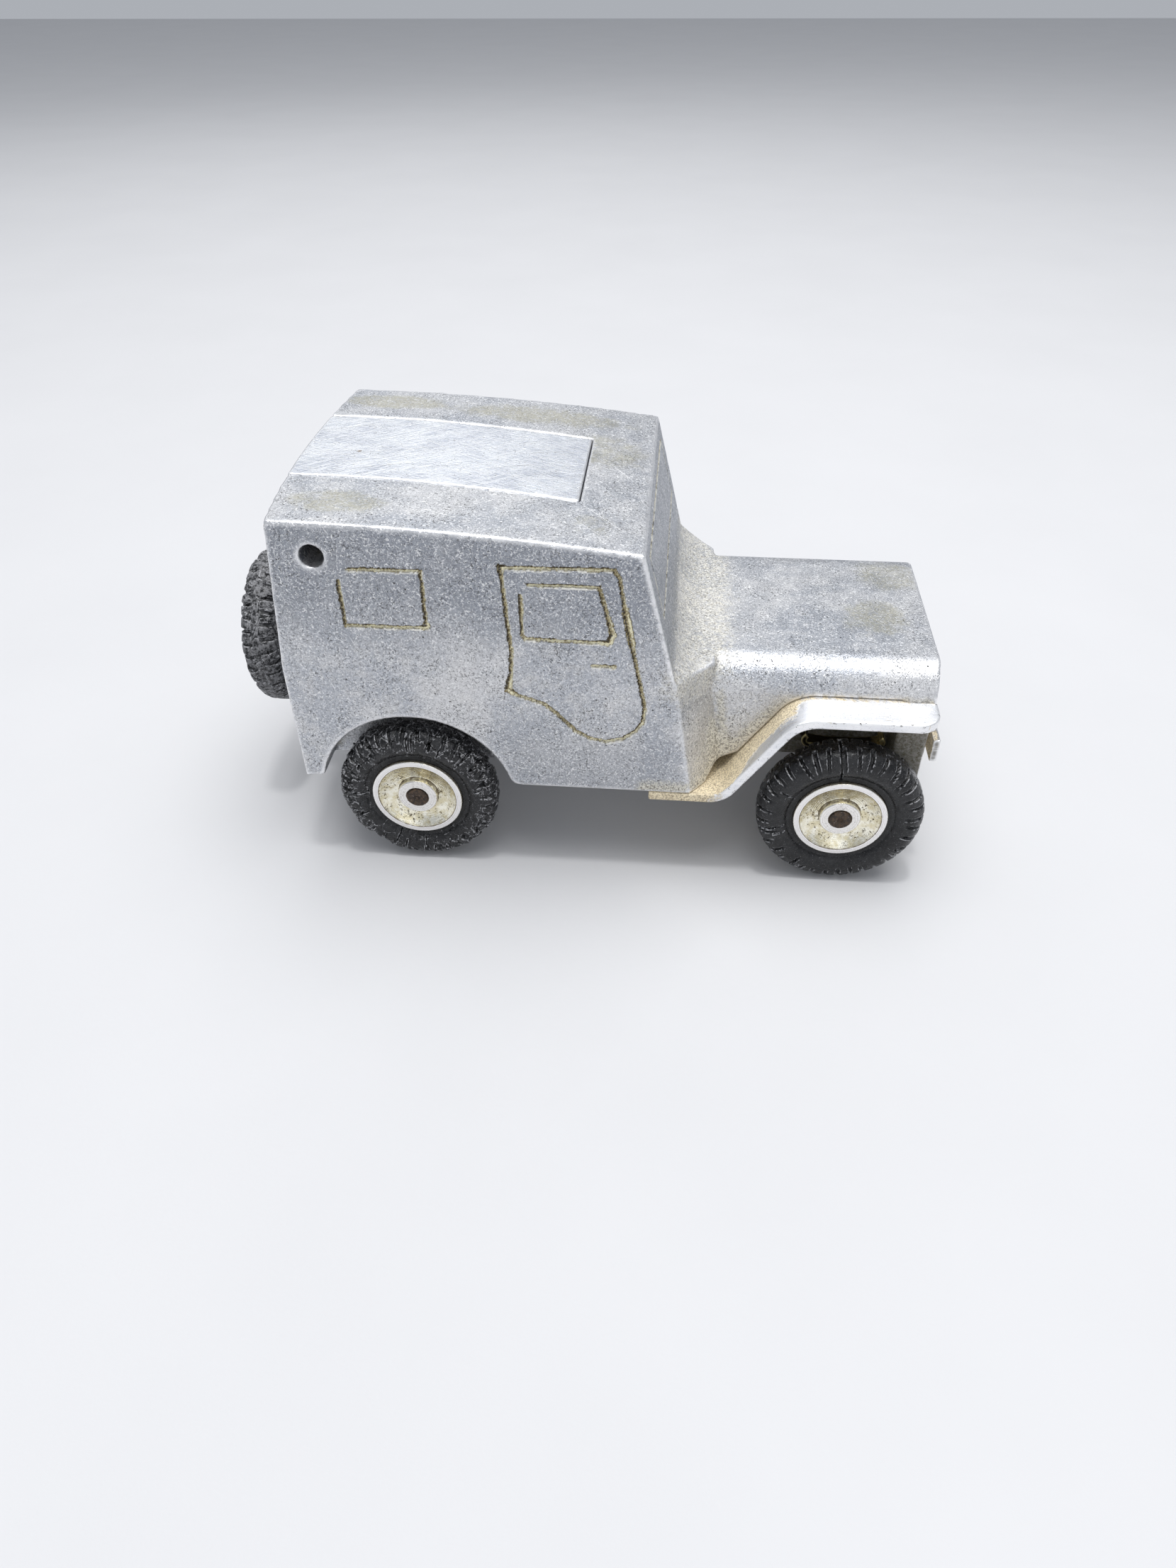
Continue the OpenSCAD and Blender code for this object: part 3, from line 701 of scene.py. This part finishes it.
def rubber_material():
    """Old black rubber, with a dull shine where the skin is whole, painted glints on the lips beside its
    cracks, and painted shade in its cuts.
    """
    paint = Paint("tyre_rubber")
    cloud = paint.rise((2.2, 4), 0.35, 0.65)
    paint.colour = paint.mix(cloud, (0.003, 0.0032, 0.004), (0.008, 0.0085, 0.010))
    specks = paint.rise((0.2, 3, 0.7), 0.62, 0.70)
    paint.coat((0.30, 0.30, 0.31), specks, 0.5)
    dusty = paint.times("dust", paint.rise((0.6, 5, 0.75), 0.42, 0.6))
    paint.coat((0.27, 0.27, 0.28), dusty, 0.8)
    # Painted glints on the lips beside the cracks
    lip = paint.times("lip", paint.rise((0.5, 3), 0.42, 0.55))
    paint.coat((0.58, 0.58, 0.60), lip, 0.7)
    # Painted shade in the cuts and in a ring at the bead
    paint.coat((0.003, 0.003, 0.003), paint.rise("cut", 0.15, 0.7))
    shine = paint.rise((0.9, 3), 0.38, 0.62)
    rough = paint.blend(shine, 0.38, 0.13)
    paint.shader.inputs["Specular IOR Level"].default_value = 0.42
    rough = paint.blend(dusty, rough, 0.8)
    coarse, middling, fine = paint.noise(0.9, 2), paint.noise(0.32, 4, 0.65), paint.noise(0.09, 2)
    paint.bump((coarse, 0.16), (middling, 0.06), (fine, 0.012))
    return paint.finish(0.0, rough)


def rust_material():
    """Plain steel under dark brown rust."""
    paint = Paint("rusty_steel")
    spots = paint.rise((0.5, 5, 0.7), 0.4, 0.62)
    paint.colour = paint.mix(spots, (0.030, 0.020, 0.015), (0.10, 0.065, 0.042))
    bare = paint.rise((0.22, 3), 0.62, 0.72)
    paint.coat((0.42, 0.36, 0.32), bare, 0.7)
    metal = paint.blend(bare, 0.35, 0.9)
    rough = paint.blend(spots, 0.42, 0.66)
    paint.bump((paint.noise(0.3, 4, 0.65), 0.03), (spots, 0.02))
    return paint.finish(metal, rough)


def brass_material():
    """Tarnished brass with bright worn spots; where its mask is 0 it is painted near black with shade."""
    paint = Paint("spring_brass")
    tarnish = paint.rise((1.0, 4, 0.65), 0.4, 0.62)
    paint.colour = paint.mix(tarnish, (0.72, 0.58, 0.25), (0.28, 0.22, 0.11))
    # Painted shade: near black where the mask is 0
    paint.colour = paint.mix("rubbed", (0.035, 0.028, 0.018), paint.colour)
    paint.coat((0.86, 0.76, 0.42), "edge", 0.7)
    rough = paint.blend(tarnish, 0.28, 0.55)
    paint.bump((paint.noise(0.3, 3), 0.02))
    return paint.finish(0.9, rough)


def floor_material():
    """Plain pale floor with a faint grain."""
    paint = Paint("pale_floor")
    paint.colour = paint.mix(paint.noise(40, 4), (0.60, 0.60, 0.61), (0.64, 0.64, 0.65))
    paint.bump((paint.noise(0.8, 3), 0.02))
    return paint.finish(0.0, 0.75)


# ---- Pieces ----


def dress(piece, material, body, slot, *nodes):
    """Gives a piece its material and body, and lets it stand for its CAD nodes. The slot argument is not
    used.
    """
    piece.data.materials.clear()
    piece.data.materials.append(material)
    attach(piece, body)
    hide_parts(*nodes)


def body_faces():
    """The engraved faces: the right side, which the left side mirrors, and the windshield."""
    low, high = box_mm("body_block")
    half = high[1]
    tree = cad_tree("body_block")
    corner = Vector((low[0], -half, low[2]))
    length, height = SCREEN_FOOT.x - 1 - low[0], high[2] - low[2]
    side = Engraving(tree, corner, Vector((1, 0, 0)), Vector((0, 0, 1)), length, height)
    slope = SCREEN_HEAD - SCREEN_FOOT
    corner = SCREEN_FOOT - Vector((0, half, 0))
    screen = Engraving(tree, corner, Vector((0, 1, 0)), slope.normalized(), 2 * half, slope.length)
    return side, screen


def each_face(faces, points, work):
    """Runs work for the right side, for the left side as its mirror image, and for the windshield."""
    side, screen = faces
    points = work(side, points)
    points = work(side, points * FLIP) * FLIP
    return work(screen, points)


def refine(piece, faces):
    """Divides the mesh's faces near the engraved lines."""
    side, screen = faces
    points = points_of(piece)
    near = side.is_near(points) | side.is_near(points * FLIP) | screen.is_near(points)
    edit = bmesh.new()
    edit.from_mesh(piece.data)
    edit.faces.ensure_lookup_table()
    fine = [f for f in edit.faces if any(near[v.index] for v in f.verts)]
    edges = list(dict.fromkeys(e for f in fine for e in f.edges))
    bmesh.ops.subdivide_edges(edit, edges=edges, cuts=1, use_grid_fill=True)
    edit.to_mesh(piece.data)
    edit.free()
    shade_smooth(piece.data)


def stain_body(piece):
    """Masks of where the block's faces are level and oxidised, where painted shade falls on them, and where
    painted shade and dirt darken the nose below the fenders.
    """
    points, normals = surface(piece)
    top = smooth(0.75, 0.95, normals[:, 2])
    # Patches of oxide: middle, reach along x and y, and strength
    patches = [((-29.5, -16.2), (8, 4), 0.55), ((-30, 17.5), (9, 3), 0.8), ((-8, 16.5), (16, 4), 0.6),
               ((1, 6), (9, 7), 0.5), ((2, -16), (4, 4), 0.35),
               ((41, -3), (6, 6), 0.55), ((44, 9), (6, 6), 0.5)]
    oxide = np.full(len(points), 0.05)
    for middle, reach, strength in patches:
        away = lengths((points[:, :2] - middle) / reach)
        oxide = np.maximum(oxide, strength * smooth(1.3, 0.4, away))
    # Painted shade: the sides darken upwards and at the rear's foot, the windshield is dark all over, and
    # the roof's far strip and all level faces are darkened a little
    upright = smooth(33, 45, points[:, 2])
    upright = np.maximum(upright, 0.7 * smooth(29, 19, points[:, 2]) * smooth(-16, -6, points[:, 0]))
    upright *= smooth(0.7, 0.95, np.abs(normals[:, 1])) * smooth(16, 12, points[:, 0])
    pane = smooth(0.75, 0.9, normals[:, 0]) * smooth(33.5, 36, points[:, 2])
    far_strip = 0.4 * top * smooth(9, 13, points[:, 1])
    shade = np.maximum.reduce([upright, 1.25 * pane, far_strip, 0.18 * top])
    # Painted shade, with some dirt: the nose's sides below the fenders are darkened
    under_fender = box_mm("fender_right")[1][2] - 1.8
    soot = smooth(26, 30, points[:, 0]) * smooth(under_fender, under_fender - 0.8, points[:, 2])
    soot *= smooth(0.8, 0.4, normals[:, 0])  # not on the nose's front face
    set_masks(piece, top=top, oxide=oxide * top, shade=shade, soot=soot)


def clean_bores(piece):
    """Takes the hollows' dirt out of the bores in the sides, and wears them evenly."""
    hole = np.array(next(m["pos_m"] for m in frame["record"]["mounts"] if m["kind"] == "bore")) / MM
    bore = lengths(points_of(piece)[:, (0, 2)] - hole[[0, 2]]) < BORE_R
    hollow, edge = get_mask(piece, "hollow"), get_mask(piece, "edge")
    set_masks(piece, hollow=np.where(bore, 0, hollow), edge=np.where(bore, 0.6, edge))


def engrave(piece, faces, points):
    """Cuts the lines into a block at these points, with their masks."""
    shake = Noise(11)
    side = -box_mm("body_block")[1][1]
    # Corners where a line runs out: the rear window's and the door window's upper rear corners
    fading = [((-29.3, side, 47.7), 2.2), ((-6.3, side, 46.0), 1.3)]
    # Broad places: the door's lower rear corner, its front line and the corners of its window
    broad = [((-8.65, side, 31.2), 1.7), ((7.3, side, 41.0), 3.6), ((4.4, side, 39.2), 1.6),
             ((-8.7, side, 48.7), 1.0), ((-18.6, side, 39.8), 1.0)]
    handle_end = (5.25, side, 35.1)
    depths, burrs, slopes = [], [], []

    def cut(face, p):
        p, depth, burr, slope = face.cut(p, shake, fading, broad, handle_end)
        depths.append(depth)
        burrs.append(burr)
        slopes.append(slope)
        return p

    move_points(piece.data, each_face(faces, points, cut))
    # These masks carry the lines' painted shade and painted highlights
    set_masks(piece, groove=sum(depths) / GROOVE_DEPTH, burr=sum(burrs), slope=np.maximum.reduce(slopes))


def make_body(material):
    """The worn block, with its lines cut again by hand."""
    faces = body_faces()

    def fill(points):
        return each_face(faces, points, lambda face, p: face.flatten(p))

    piece = worn_copy("body_block", "body_shell", BODY_GRAIN, 3, fill)
    refine(piece, faces)
    stain_body(piece)
    clean_bores(piece)
    points, normals = surface(piece)
    filed = 0.02 + 0.02 * Noise(3)(points, 6, 2)
    engrave(piece, faces, points - normals * filed[:, None])
    behind = smooth(31, 23, points_of(piece)[:, 0])  # little dirt beside the level part of the fenders
    lay_down_dirt(piece, ("fender_right", "fender_left"), 3.0, SCREEN_HEAD.x, behind)
    dress(piece, material, "car", "body_aluminium", "body_block")


def make_flap(material):
    """The flap's plate, with a dark pit near its hinge."""
    piece = worn_copy("roof_flap", "flap_plate", FLAP_GRAIN, 2)
    points, normals = surface(piece)
    pit = (-30.7, -0.7, box_mm("roof_flap")[1][2])
    spot = smooth(0.42, 0.16, distances(points, pit))
    set_masks(piece, spot=spot)
    sunk = 0.012 + 0.012 * Noise(5)(points, 5, 2) + 0.12 * spot
    move_points(piece.data, points - normals * sunk[:, None])
    dress(piece, material, "flap", "flap_aluminium", "roof_flap")


def make_sheet(node, name, material, grain, touching, reach, shade=0.0):
    """A strip of bent sheet: fender or bumper. shade is painted shade over the whole strip, from 0, none,
    to 1, full.
    """
    piece = worn_copy(node, name, grain, 2)
    points, normals = surface(piece)
    top = points[:, 2].max()
    sunk = 0.02 + 0.02 * Noise(len(node))(points, 3, 2)
    points -= normals * sunk[:, None]
    move_points(piece.data, points)
    set_masks(piece, shade=shade)
    level = smooth(top - 1.2, top - 0.2, points[:, 2])
    lay_down_dirt(piece, (touching,), reach, SCREEN_HEAD.x, 1 - 0.9 * level)
    dress(piece, material, "car", "fender_aluminium", node)


class Wheel:
    """Where a wheel is: the middle of its tyre, its outward direction and two directions across it."""

    def __init__(self, tyre_node, hub_node, outward):
        low, high = box_mm(tyre_node)
        self.centre = (low + high) / 2
        self.outward = np.array(outward, float)
        self.across = np.array([1.0, 0, 0]) if outward[1] else np.array([0, 1.0, 0])
        size = (high - low) / 2
        self.radius = size[2]
        self.half = abs(size @ self.outward)
        low, high = box_mm(hub_node)
        self.rim_r = (high[2] - low[2]) / 2
        ends = sorted(((low - self.centre) @ self.outward, (high - self.centre) @ self.outward))
        self.hub_inner, self.hub_face = ends

    def turn(self, radii, along, angles):
        """Points at these radii and distances along the axle, at these angles, all of one shape."""
        up = np.array([0, 0, 1.0])
        across = np.cos(angles)[..., None] * self.across + np.sin(angles)[..., None] * up
        return self.centre + across * radii[..., None] + along[..., None] * self.outward


def arc(centre, radius, start, end, step=0.1):
    """Points of a section on an arc, at most step apart; angles in degrees."""
    count = max(2, int(radius * math.radians(abs(end - start)) / step))
    angles = np.radians(np.linspace(start, end, count))
    return np.stack([centre[0] + radius * np.cos(angles), centre[1] + radius * np.sin(angles)], axis=1)


def resample(corners, step):
    """A polyline's points, spread evenly at about step."""
    corners = np.asarray(corners, float)
    reached = np.concatenate([[0], np.cumsum(lengths(np.diff(corners, axis=0)))])
    at = np.linspace(0, reached[-1], int(reached[-1] / step) + 1)
    return np.stack([np.interp(at, reached, corners[:, k]) for k in range(2)], axis=1)


def swept(section, steps):
    """Angles, radii and distances along the axle of a section that goes round it in this many steps."""
    turn = np.linspace(0, 2 * math.pi, steps, endpoint=False)
    angles = np.repeat(turn[:, None], len(section), axis=1)
    return angles, *(np.broadcast_to(section[:, k], angles.shape) for k in range(2))


def tyre_section(wheel):
    """Half the section, as radius and distance from the middle plane, from the crown to the bore."""
    rim, top, half, q = wheel.rim_r, wheel.radius, wheel.half, TYRE_ROUND
    low = rim + BEAD_DEPTH + q
    end = math.degrees(math.asin((BEAD_HALF - (half - q)) / q))
    return np.concatenate([
        [[top, 0]],
        arc((top - q, half - q), q, 0, 90),
        arc((low, half - q), q, 90, 180 - end),
        [[rim + 0.01, BEAD_HALF]],
    ])


def cut_lugs(rng, sign, angles, radii, paths, drift, decay):
    """Cuts the lugs of the shoulder on one side. Returns how deep the skin sinks, and how much painted
    shade darkens it.
    """
    shoulder = paths * sign  # distance from the crown on this half
    lean = rng.uniform(-0.16, 0.16, LUGS)
    shift = rng.uniform(-0.10, 0.10, LUGS)
    depth = rng.uniform(0.30, 0.46, LUGS) * (1 - 0.25 * decay)
    reach = rng.uniform(3.2, 4.7, LUGS)
    width = rng.uniform(0.17, 0.27, LUGS)
    pitch = 2 * math.pi / LUGS
    phase = angles / pitch + (0.5 if sign > 0 else 0)
    lug = np.round(phase).astype(int) % LUGS
    off = (phase - np.round(phase)) * pitch * radii + shift[lug]
    off = off + lean[lug] * (shoulder - 1.5) + 0.10 * drift
    run = smooth(0.4, 0.75, shoulder) * smooth(reach[lug] + 0.5, reach[lug] - 1.0, shoulder)
    walls = smooth(width[lug] + 0.07, width[lug] - 0.05, np.abs(off))
    rounded = smooth(0.45, 0.95, 1 - np.abs(off) / (pitch * radii / 2))  # towards the cuts
    sink = depth[lug] * run * walls + 0.07 * run * rounded
    return sink, 0.8 * run * bell(np.abs(off) - width[lug], 0.07)


def crack_paths(rng, count, longest):
    """Radial cracks: angle, start and end of their path, width and side."""
    start = rng.uniform(0.8, 4.2, count)
    angles = rng.uniform(0, 2 * math.pi, count)
    end = start + rng.uniform(0.8, longest, count)
    return list(zip(angles, start, end, rng.uniform(0.05, 0.11, count), rng.choice([-1, 1], count)))


def make_tyre(wheel, node, name, material, body, seed, decay, dust, cracks=()):
    """A lugged rubber tyre. decay is from 0, whole, to 1, crumbling."""
    rng = np.random.default_rng(seed)
    field = Noise(seed)
    side = resample(tyre_section(wheel), TYRE_STEP)
    path = np.arange(len(side)) * TYRE_STEP  # distance from the crown, along the skin
    section = np.concatenate([side[::-1] * [1, -1], side[1:]])
    path = np.concatenate([-path[::-1], path[1:]])
    angles, radii, along = swept(section, TYRE_TURNS)
    paths = np.broadcast_to(path, angles.shape)
    skin = wheel.turn(radii, along, angles)
    rough, drift = field(skin, 0.9, 3), field(skin + 40, 2.4, 2)
    sink = 0.03 + 0.03 * drift
    # Where painted shade darkens the lug cuts, seam, cracks and the ring at the bead
    cut = np.zeros_like(sink)
    for sign in (-1, 1):
        deep, dark = cut_lugs(rng, sign, angles, radii, paths, drift, decay)
        sink += deep
        cut = np.maximum(cut, dark)
    # Seam and broken rib round the crown
    seam = bell(np.abs(paths) - 0.5 - 0.12 * drift, 0.07) * smooth(-0.3, 0.4, rough)
    sink += 0.12 * seam
    cut = np.maximum(cut, 0.7 * seam)
    # Radial cracks, wavering down the sidewall
    sway = field(np.stack([path, path * 0, path * 0 + 9.0], axis=1), 0.8, 3)
    for angle, start, end, width, sign in [*crack_paths(rng, 16 + int(26 * decay), 3.0), *cracks]:
        gap = (angles - angle + math.pi) % (2 * math.pi) - math.pi
        off = gap * radii + 0.14 * math.sin(angle * 9) * sway
        line = between(start, end, paths * sign, 0.15) * bell(off, width)
        sink += 0.42 * line
        cut = np.maximum(cut, smooth(0.15, 0.7, line))
    if decay:
        sink, cut = crumble(skin, paths, rough, sink, cut, decay, rng)
    sink = np.clip(sink, 0.004, 1.3)
    # The lips beside the cuts get painted glints
    around = sum(np.roll(np.roll(sink, i, 0), j, 1) for i in (-1, 0, 1) for j in (-1, 0, 1)) / 9
    lip = smooth(0.012, 0.05, around - sink)
    bead = path[-1] - np.abs(path)  # distance from the bead, which stays put on the rim
    # A ring of painted shade beside the bead, where it meets the hub's rim
    cut = np.maximum(cut, smooth(0.75, 0.35, bead))
    # The skin sinks along its normal in the section
    tangent = np.gradient(section, axis=0)
    tangent /= np.linalg.norm(tangent, axis=1, keepdims=True)
    sink = sink * smooth(0.0, 0.5, bead)
    skin = wheel.turn(radii - tangent[:, 1] * sink, along + tangent[:, 0] * sink, angles)
    piece = grid_piece(name, skin)
    set_masks(piece, cut=cut, lip=lip, dust=dust)
    face_outwards(piece)
    dress(piece, material, body, "tyre_rubber", node)


def crumble(skin, paths, rough, sink, cut, decay, rng):
    """Breaks the skin into plates that have lifted or tilted, and wrinkles it."""
    flat = skin.reshape(-1, 3)
    spots = flat[rng.choice(len(flat), PLATES, replace=False)]
    tree = KDTree(len(spots))
    for k, spot in enumerate(spots):
        tree.insert(Vector(spot), k)
    tree.balance()
    heights = rng.uniform(0, 0.20, len(spots))
    heights[rng.random(len(spots)) < 0.14] = 0.45
    tilts = rng.uniform(-0.22, 0.22, (len(spots), 3))
    moved = flat + rough.reshape(-1, 1) * 0.45
    plate, gap, slant = np.empty(len(flat), int), np.empty(len(flat)), np.empty(len(flat))
    for k, point in enumerate(moved):
        (spot, plate[k], first), (_, _, second) = tree.find_n(Vector(point), 2)
        gap[k] = second - first
        slant[k] = tilts[plate[k]] @ (point - np.array(spot))
    wall = smooth(5.2, 3.6, np.abs(paths))  # the lower sidewall is still smooth
    amount = decay * (0.25 + 0.75 * wall) * smooth(-0.75, 0.05, Noise(77)(skin, 4, 2))
    edges = smooth(0.16, 0.02, gap).reshape(paths.shape) * smooth(-0.35, 0.1, rough)
    wrinkles = np.abs(Noise(78)(skin, 0.55, 2))
    lifted = (heights[plate] + np.abs(slant)).reshape(paths.shape)
    sink = sink + amount * lifted + amount * (0.34 * edges + 0.12 * wrinkles)
    return sink, np.maximum(cut, amount * edges)


def hub_section(wheel):
    """The hub's section as a closed loop of radius and distance outwards."""
    rim, face, inner = wheel.rim_r, wheel.hub_face, wheel.hub_inner
    lip = rim - RIM_LIP
    floor = face - DISH_DEPTH
    dish = [[lip, face - 0.03]]
    for t in np.linspace(0, 1, 24):
        radius = lip - 0.06 - (lip - BOSS_R - 0.36) * t
        dish.append([radius, face - 0.12 - (DISH_DEPTH - 0.12) * math.sin(t * math.pi / 2) ** 0.9])
    loop = [
        [AXLE_R, inner], [BOSS_R, inner], [BOSS_R, -HUB_BACK], [rim, -HUB_BACK],
        [rim, face - 0.14], [rim - 0.05, face - 0.04], [rim - 0.16, face],
        [lip + 0.08, face], *dish,
        [BOSS_R + 0.05, floor + 0.05], [BOSS_R, floor + 0.2], [BOSS_R, BOSS_FACE - 0.14],
        [BOSS_R - 0.12, BOSS_FACE], [AXLE_R + 0.12, BOSS_FACE], [AXLE_R, BOSS_FACE - 0.12],
    ]
    return resample([*loop, loop[0]], HUB_STEP)[:-1]


def make_hub(wheel, node, name, material, body, seed):
    """A turned hub: bright lip, dull dish with fine ridges, and a boss round the axle."""
    angles, radii, along = swept(hub_section(wheel), HUB_TURNS)
    dents = np.clip(Noise(seed)(wheel.turn(radii, along, angles), 0.8, 3), 0, 1)
    front = smooth(0.2, 0.8, along)
    ridges = 0.008 * np.sin(radii * 2 * math.pi / 0.3)
    along = along - front * (0.012 + ridges + 0.02 * dents)
    piece = grid_piece(name, wheel.turn(radii, along, angles))
    rim, ledge = wheel.rim_r, wheel.rim_r - RIM_LIP
    lip = smooth(ledge - 0.04, ledge + 0.04, radii)
    boss = smooth(BOSS_R + 0.02, BOSS_R - 0.05, radii) * smooth(BOSS_FACE - 0.3, BOSS_FACE - 0.1, along)
    outside = smooth(rim - 0.02, rim - 0.12, radii)  # the rim's cylinder is stained
    polish = np.maximum(lip * (0.35 + 0.65 * outside), 0.9 * boss)
    foot = bell(radii - BOSS_R - 0.05, 0.1) * smooth(BOSS_FACE, BOSS_FACE - 0.5, along)
    step = bell(radii - ledge, 0.05) * front
    bore = smooth(AXLE_R + 0.26, AXLE_R + 0.05, radii)
    wall = 1 - smooth(rim - 0.01, rim - 0.04, radii)
    # Painted shade: dark at the boss's foot, the step behind the lip, the bore and the rim's cylinder
    corner = np.maximum.reduce([0.6 * foot, 0.8 * step, bore, 0.5 * wall])
    set_masks(piece, ring=radii, polish=polish, corner=corner)
    face_outwards(piece)
    dress(piece, material, body, "hub_aluminium", node)


def make_axle(node, name, material, body, seed):
    """A steel rod with a centre mark and a worn corner at each end."""
    low, high = box_mm(node)
    centre, half = (low + high) / 2, (high[1] - low[1]) / 2
    mark = [[0.0, half - 0.30], [0.22, half - 0.24], [0.42, half - 0.06], [0.5, half - 0.02]]
    corner = [[AXLE_R - 0.4, half], [AXLE_R - 0.16, half - 0.03], [AXLE_R - 0.03, half - 0.14]]
    end = resample([*mark, *corner, [AXLE_R, half - 0.4]], AXLE_STEP)
    section = np.concatenate([end * [1, -1], end[::-1]])
    angles, radii, along = swept(section, AXLE_TURNS)
    points = centre + np.stack([radii * np.cos(angles), along, radii * np.sin(angles)], axis=-1)
    pitted = np.clip(Noise(seed)(points, 0.5, 3), 0, 1)
    points[..., 1] -= 0.06 * pitted * np.sign(along) * (radii < AXLE_R - 0.05)
    piece = grid_piece(name, points, wrap_section=False)
    face_outwards(piece)
    dress(piece, material, body, "rusty_steel", node)


def make_spring(node, name, material):
    """A leaf spring, painted dark with shade except at its curled front end."""
    piece = worn_copy(node, name, SPRING_GRAIN, 2)
    ahead = points_of(piece)[:, 0]
    # Painted shade over the whole spring but its curled front end
    set_masks(piece, rubbed=smooth(-1.9, -1.2, ahead - ahead.max()))
    dress(piece, material, "car", "spring_brass", node)


def keep_cad(node, material, bevel):
    """A CAD node that keeps its shape, with its corners taken off."""
    piece = frame["nodes"][node]
    piece.data.materials.clear()
    piece.data.materials.append(material)
    weld = piece.modifiers.new("weld", "WELD")
    weld.merge_threshold = 0.001 * MM
    corner = piece.modifiers.new("corner", "BEVEL")
    corner.width = bevel * MM
    corner.segments = 3
    corner.limit_method = "ANGLE"
    corner.angle_limit = math.radians(40)
    corner.use_clamp_overlap = True


# ---- The car ----

aluminium, bright, sheet = body_material(), flap_material(), sheet_material()
turned, rubber, rust, brass = hub_material(), rubber_material(), rust_material(), brass_material()

make_body(aluminium)
make_flap(bright)
for side in ("right", "left"):
    make_sheet(f"fender_{side}", f"fender_strip_{side}", sheet, FENDER_GRAIN, "body_block", 5.2)
    make_spring(f"front_spring_{side}", f"leaf_spring_{side}", brass)
# The bumper is darkened all over with painted shade
make_sheet("front_bumper", "bumper_strip", sheet, BUMPER_GRAIN, "body_block", 1.2, 0.95)

RIGHT, LEFT, BACK = (0, -1, 0), (0, 1, 0), (-1, 0, 0)
long_crack = (math.radians(97), -1.0, 7.2, 0.13, 1)
# Where, outward direction, body, seed, decay, dust and extra cracks
WHEELS = [
    ("front_right", RIGHT, "front_wheels", 21, 0.0, 0.04, [long_crack]),
    ("front_left", LEFT, "front_wheels", 22, 0.15, 0.06, []),
    ("rear_right", RIGHT, "rear_wheels", 23, 1.0, 0.06, []),
    ("rear_left", LEFT, "rear_wheels", 24, 0.8, 0.08, []),
    ("spare", BACK, "car", 25, 0.55, 1.0, []),
]
for where, outward, body, seed, decay, dust, cracks in WHEELS:
    wheel = Wheel(f"{where}_tyre", f"{where}_hub", outward)
    make_tyre(wheel, f"{where}_tyre", f"tyre_{where}", rubber, body, seed, decay, dust, cracks)
    make_hub(wheel, f"{where}_hub", f"hub_{where}", turned, body, seed)
make_axle("front_axle", "axle_rod_front", rust, "front_wheels", 31)
make_axle("rear_axle", "axle_rod_rear", rust, "rear_wheels", 32)

for node in ("front_bearing_right", "front_bearing_left", "rear_bearing_right", "rear_bearing_left"):
    keep_cad(node, aluminium, 0.2)
keep_cad("spare_collar", aluminium, 0.2)
for node in ("fender_rivets", "bumper_rivets"):
    keep_cad(node, sheet, 0.1)
for node in ("bearing_screws", "flap_hinge_pin", "spare_post"):
    keep_cad(node, rust, 0.1)

# ---- Floor, lights and camera ----

bpy.ops.mesh.primitive_plane_add(size=3)
floor = bpy.context.object
floor.name = "floor"
floor.data.materials.append(floor_material())

world = bpy.data.worlds.new("studio")
scene.world = world
world.use_nodes = True
background = world.node_tree.nodes["Background"]
background.inputs["Color"].default_value = (0.82, 0.86, 0.93, 1)
background.inputs["Strength"].default_value = 0.5


def lamp(name, place, size, power):
    """A square soft light at a place in metres, aimed at the car."""
    light = bpy.data.lights.new(name, "AREA")
    light.size = size
    light.energy = power
    piece = bpy.data.objects.new(name, light)
    scene.collection.objects.link(piece)
    piece.location = place
    piece.rotation_euler = (Vector((0, 0, 0.03)) - Vector(place)).to_track_quat("-Z", "Y").to_euler()


lamp("window", (-0.2, 0.55, 0.45), 0.4, 0.38)
lamp("overhead", (0.05, 0.05, 0.75), 0.65, 5.2)
lamp("sparkle", (0.02, -0.06, 0.80), 0.06, 1.3)
lamp("front", (0.15, -0.60, 0.28), 0.45, 0.5)

camera = bpy.data.objects.new("camera", bpy.data.cameras.new("camera"))
scene.collection.objects.link(camera)
camera.location = (0.0121, -0.1336, 0.1095)
camera.rotation_euler = [math.radians(a) for a in (49.909, 0.367, 4.993)]
camera.data.lens = 23.95
camera.data.clip_start = 0.01
scene.camera = camera
scene.view_settings.view_transform = "Standard"
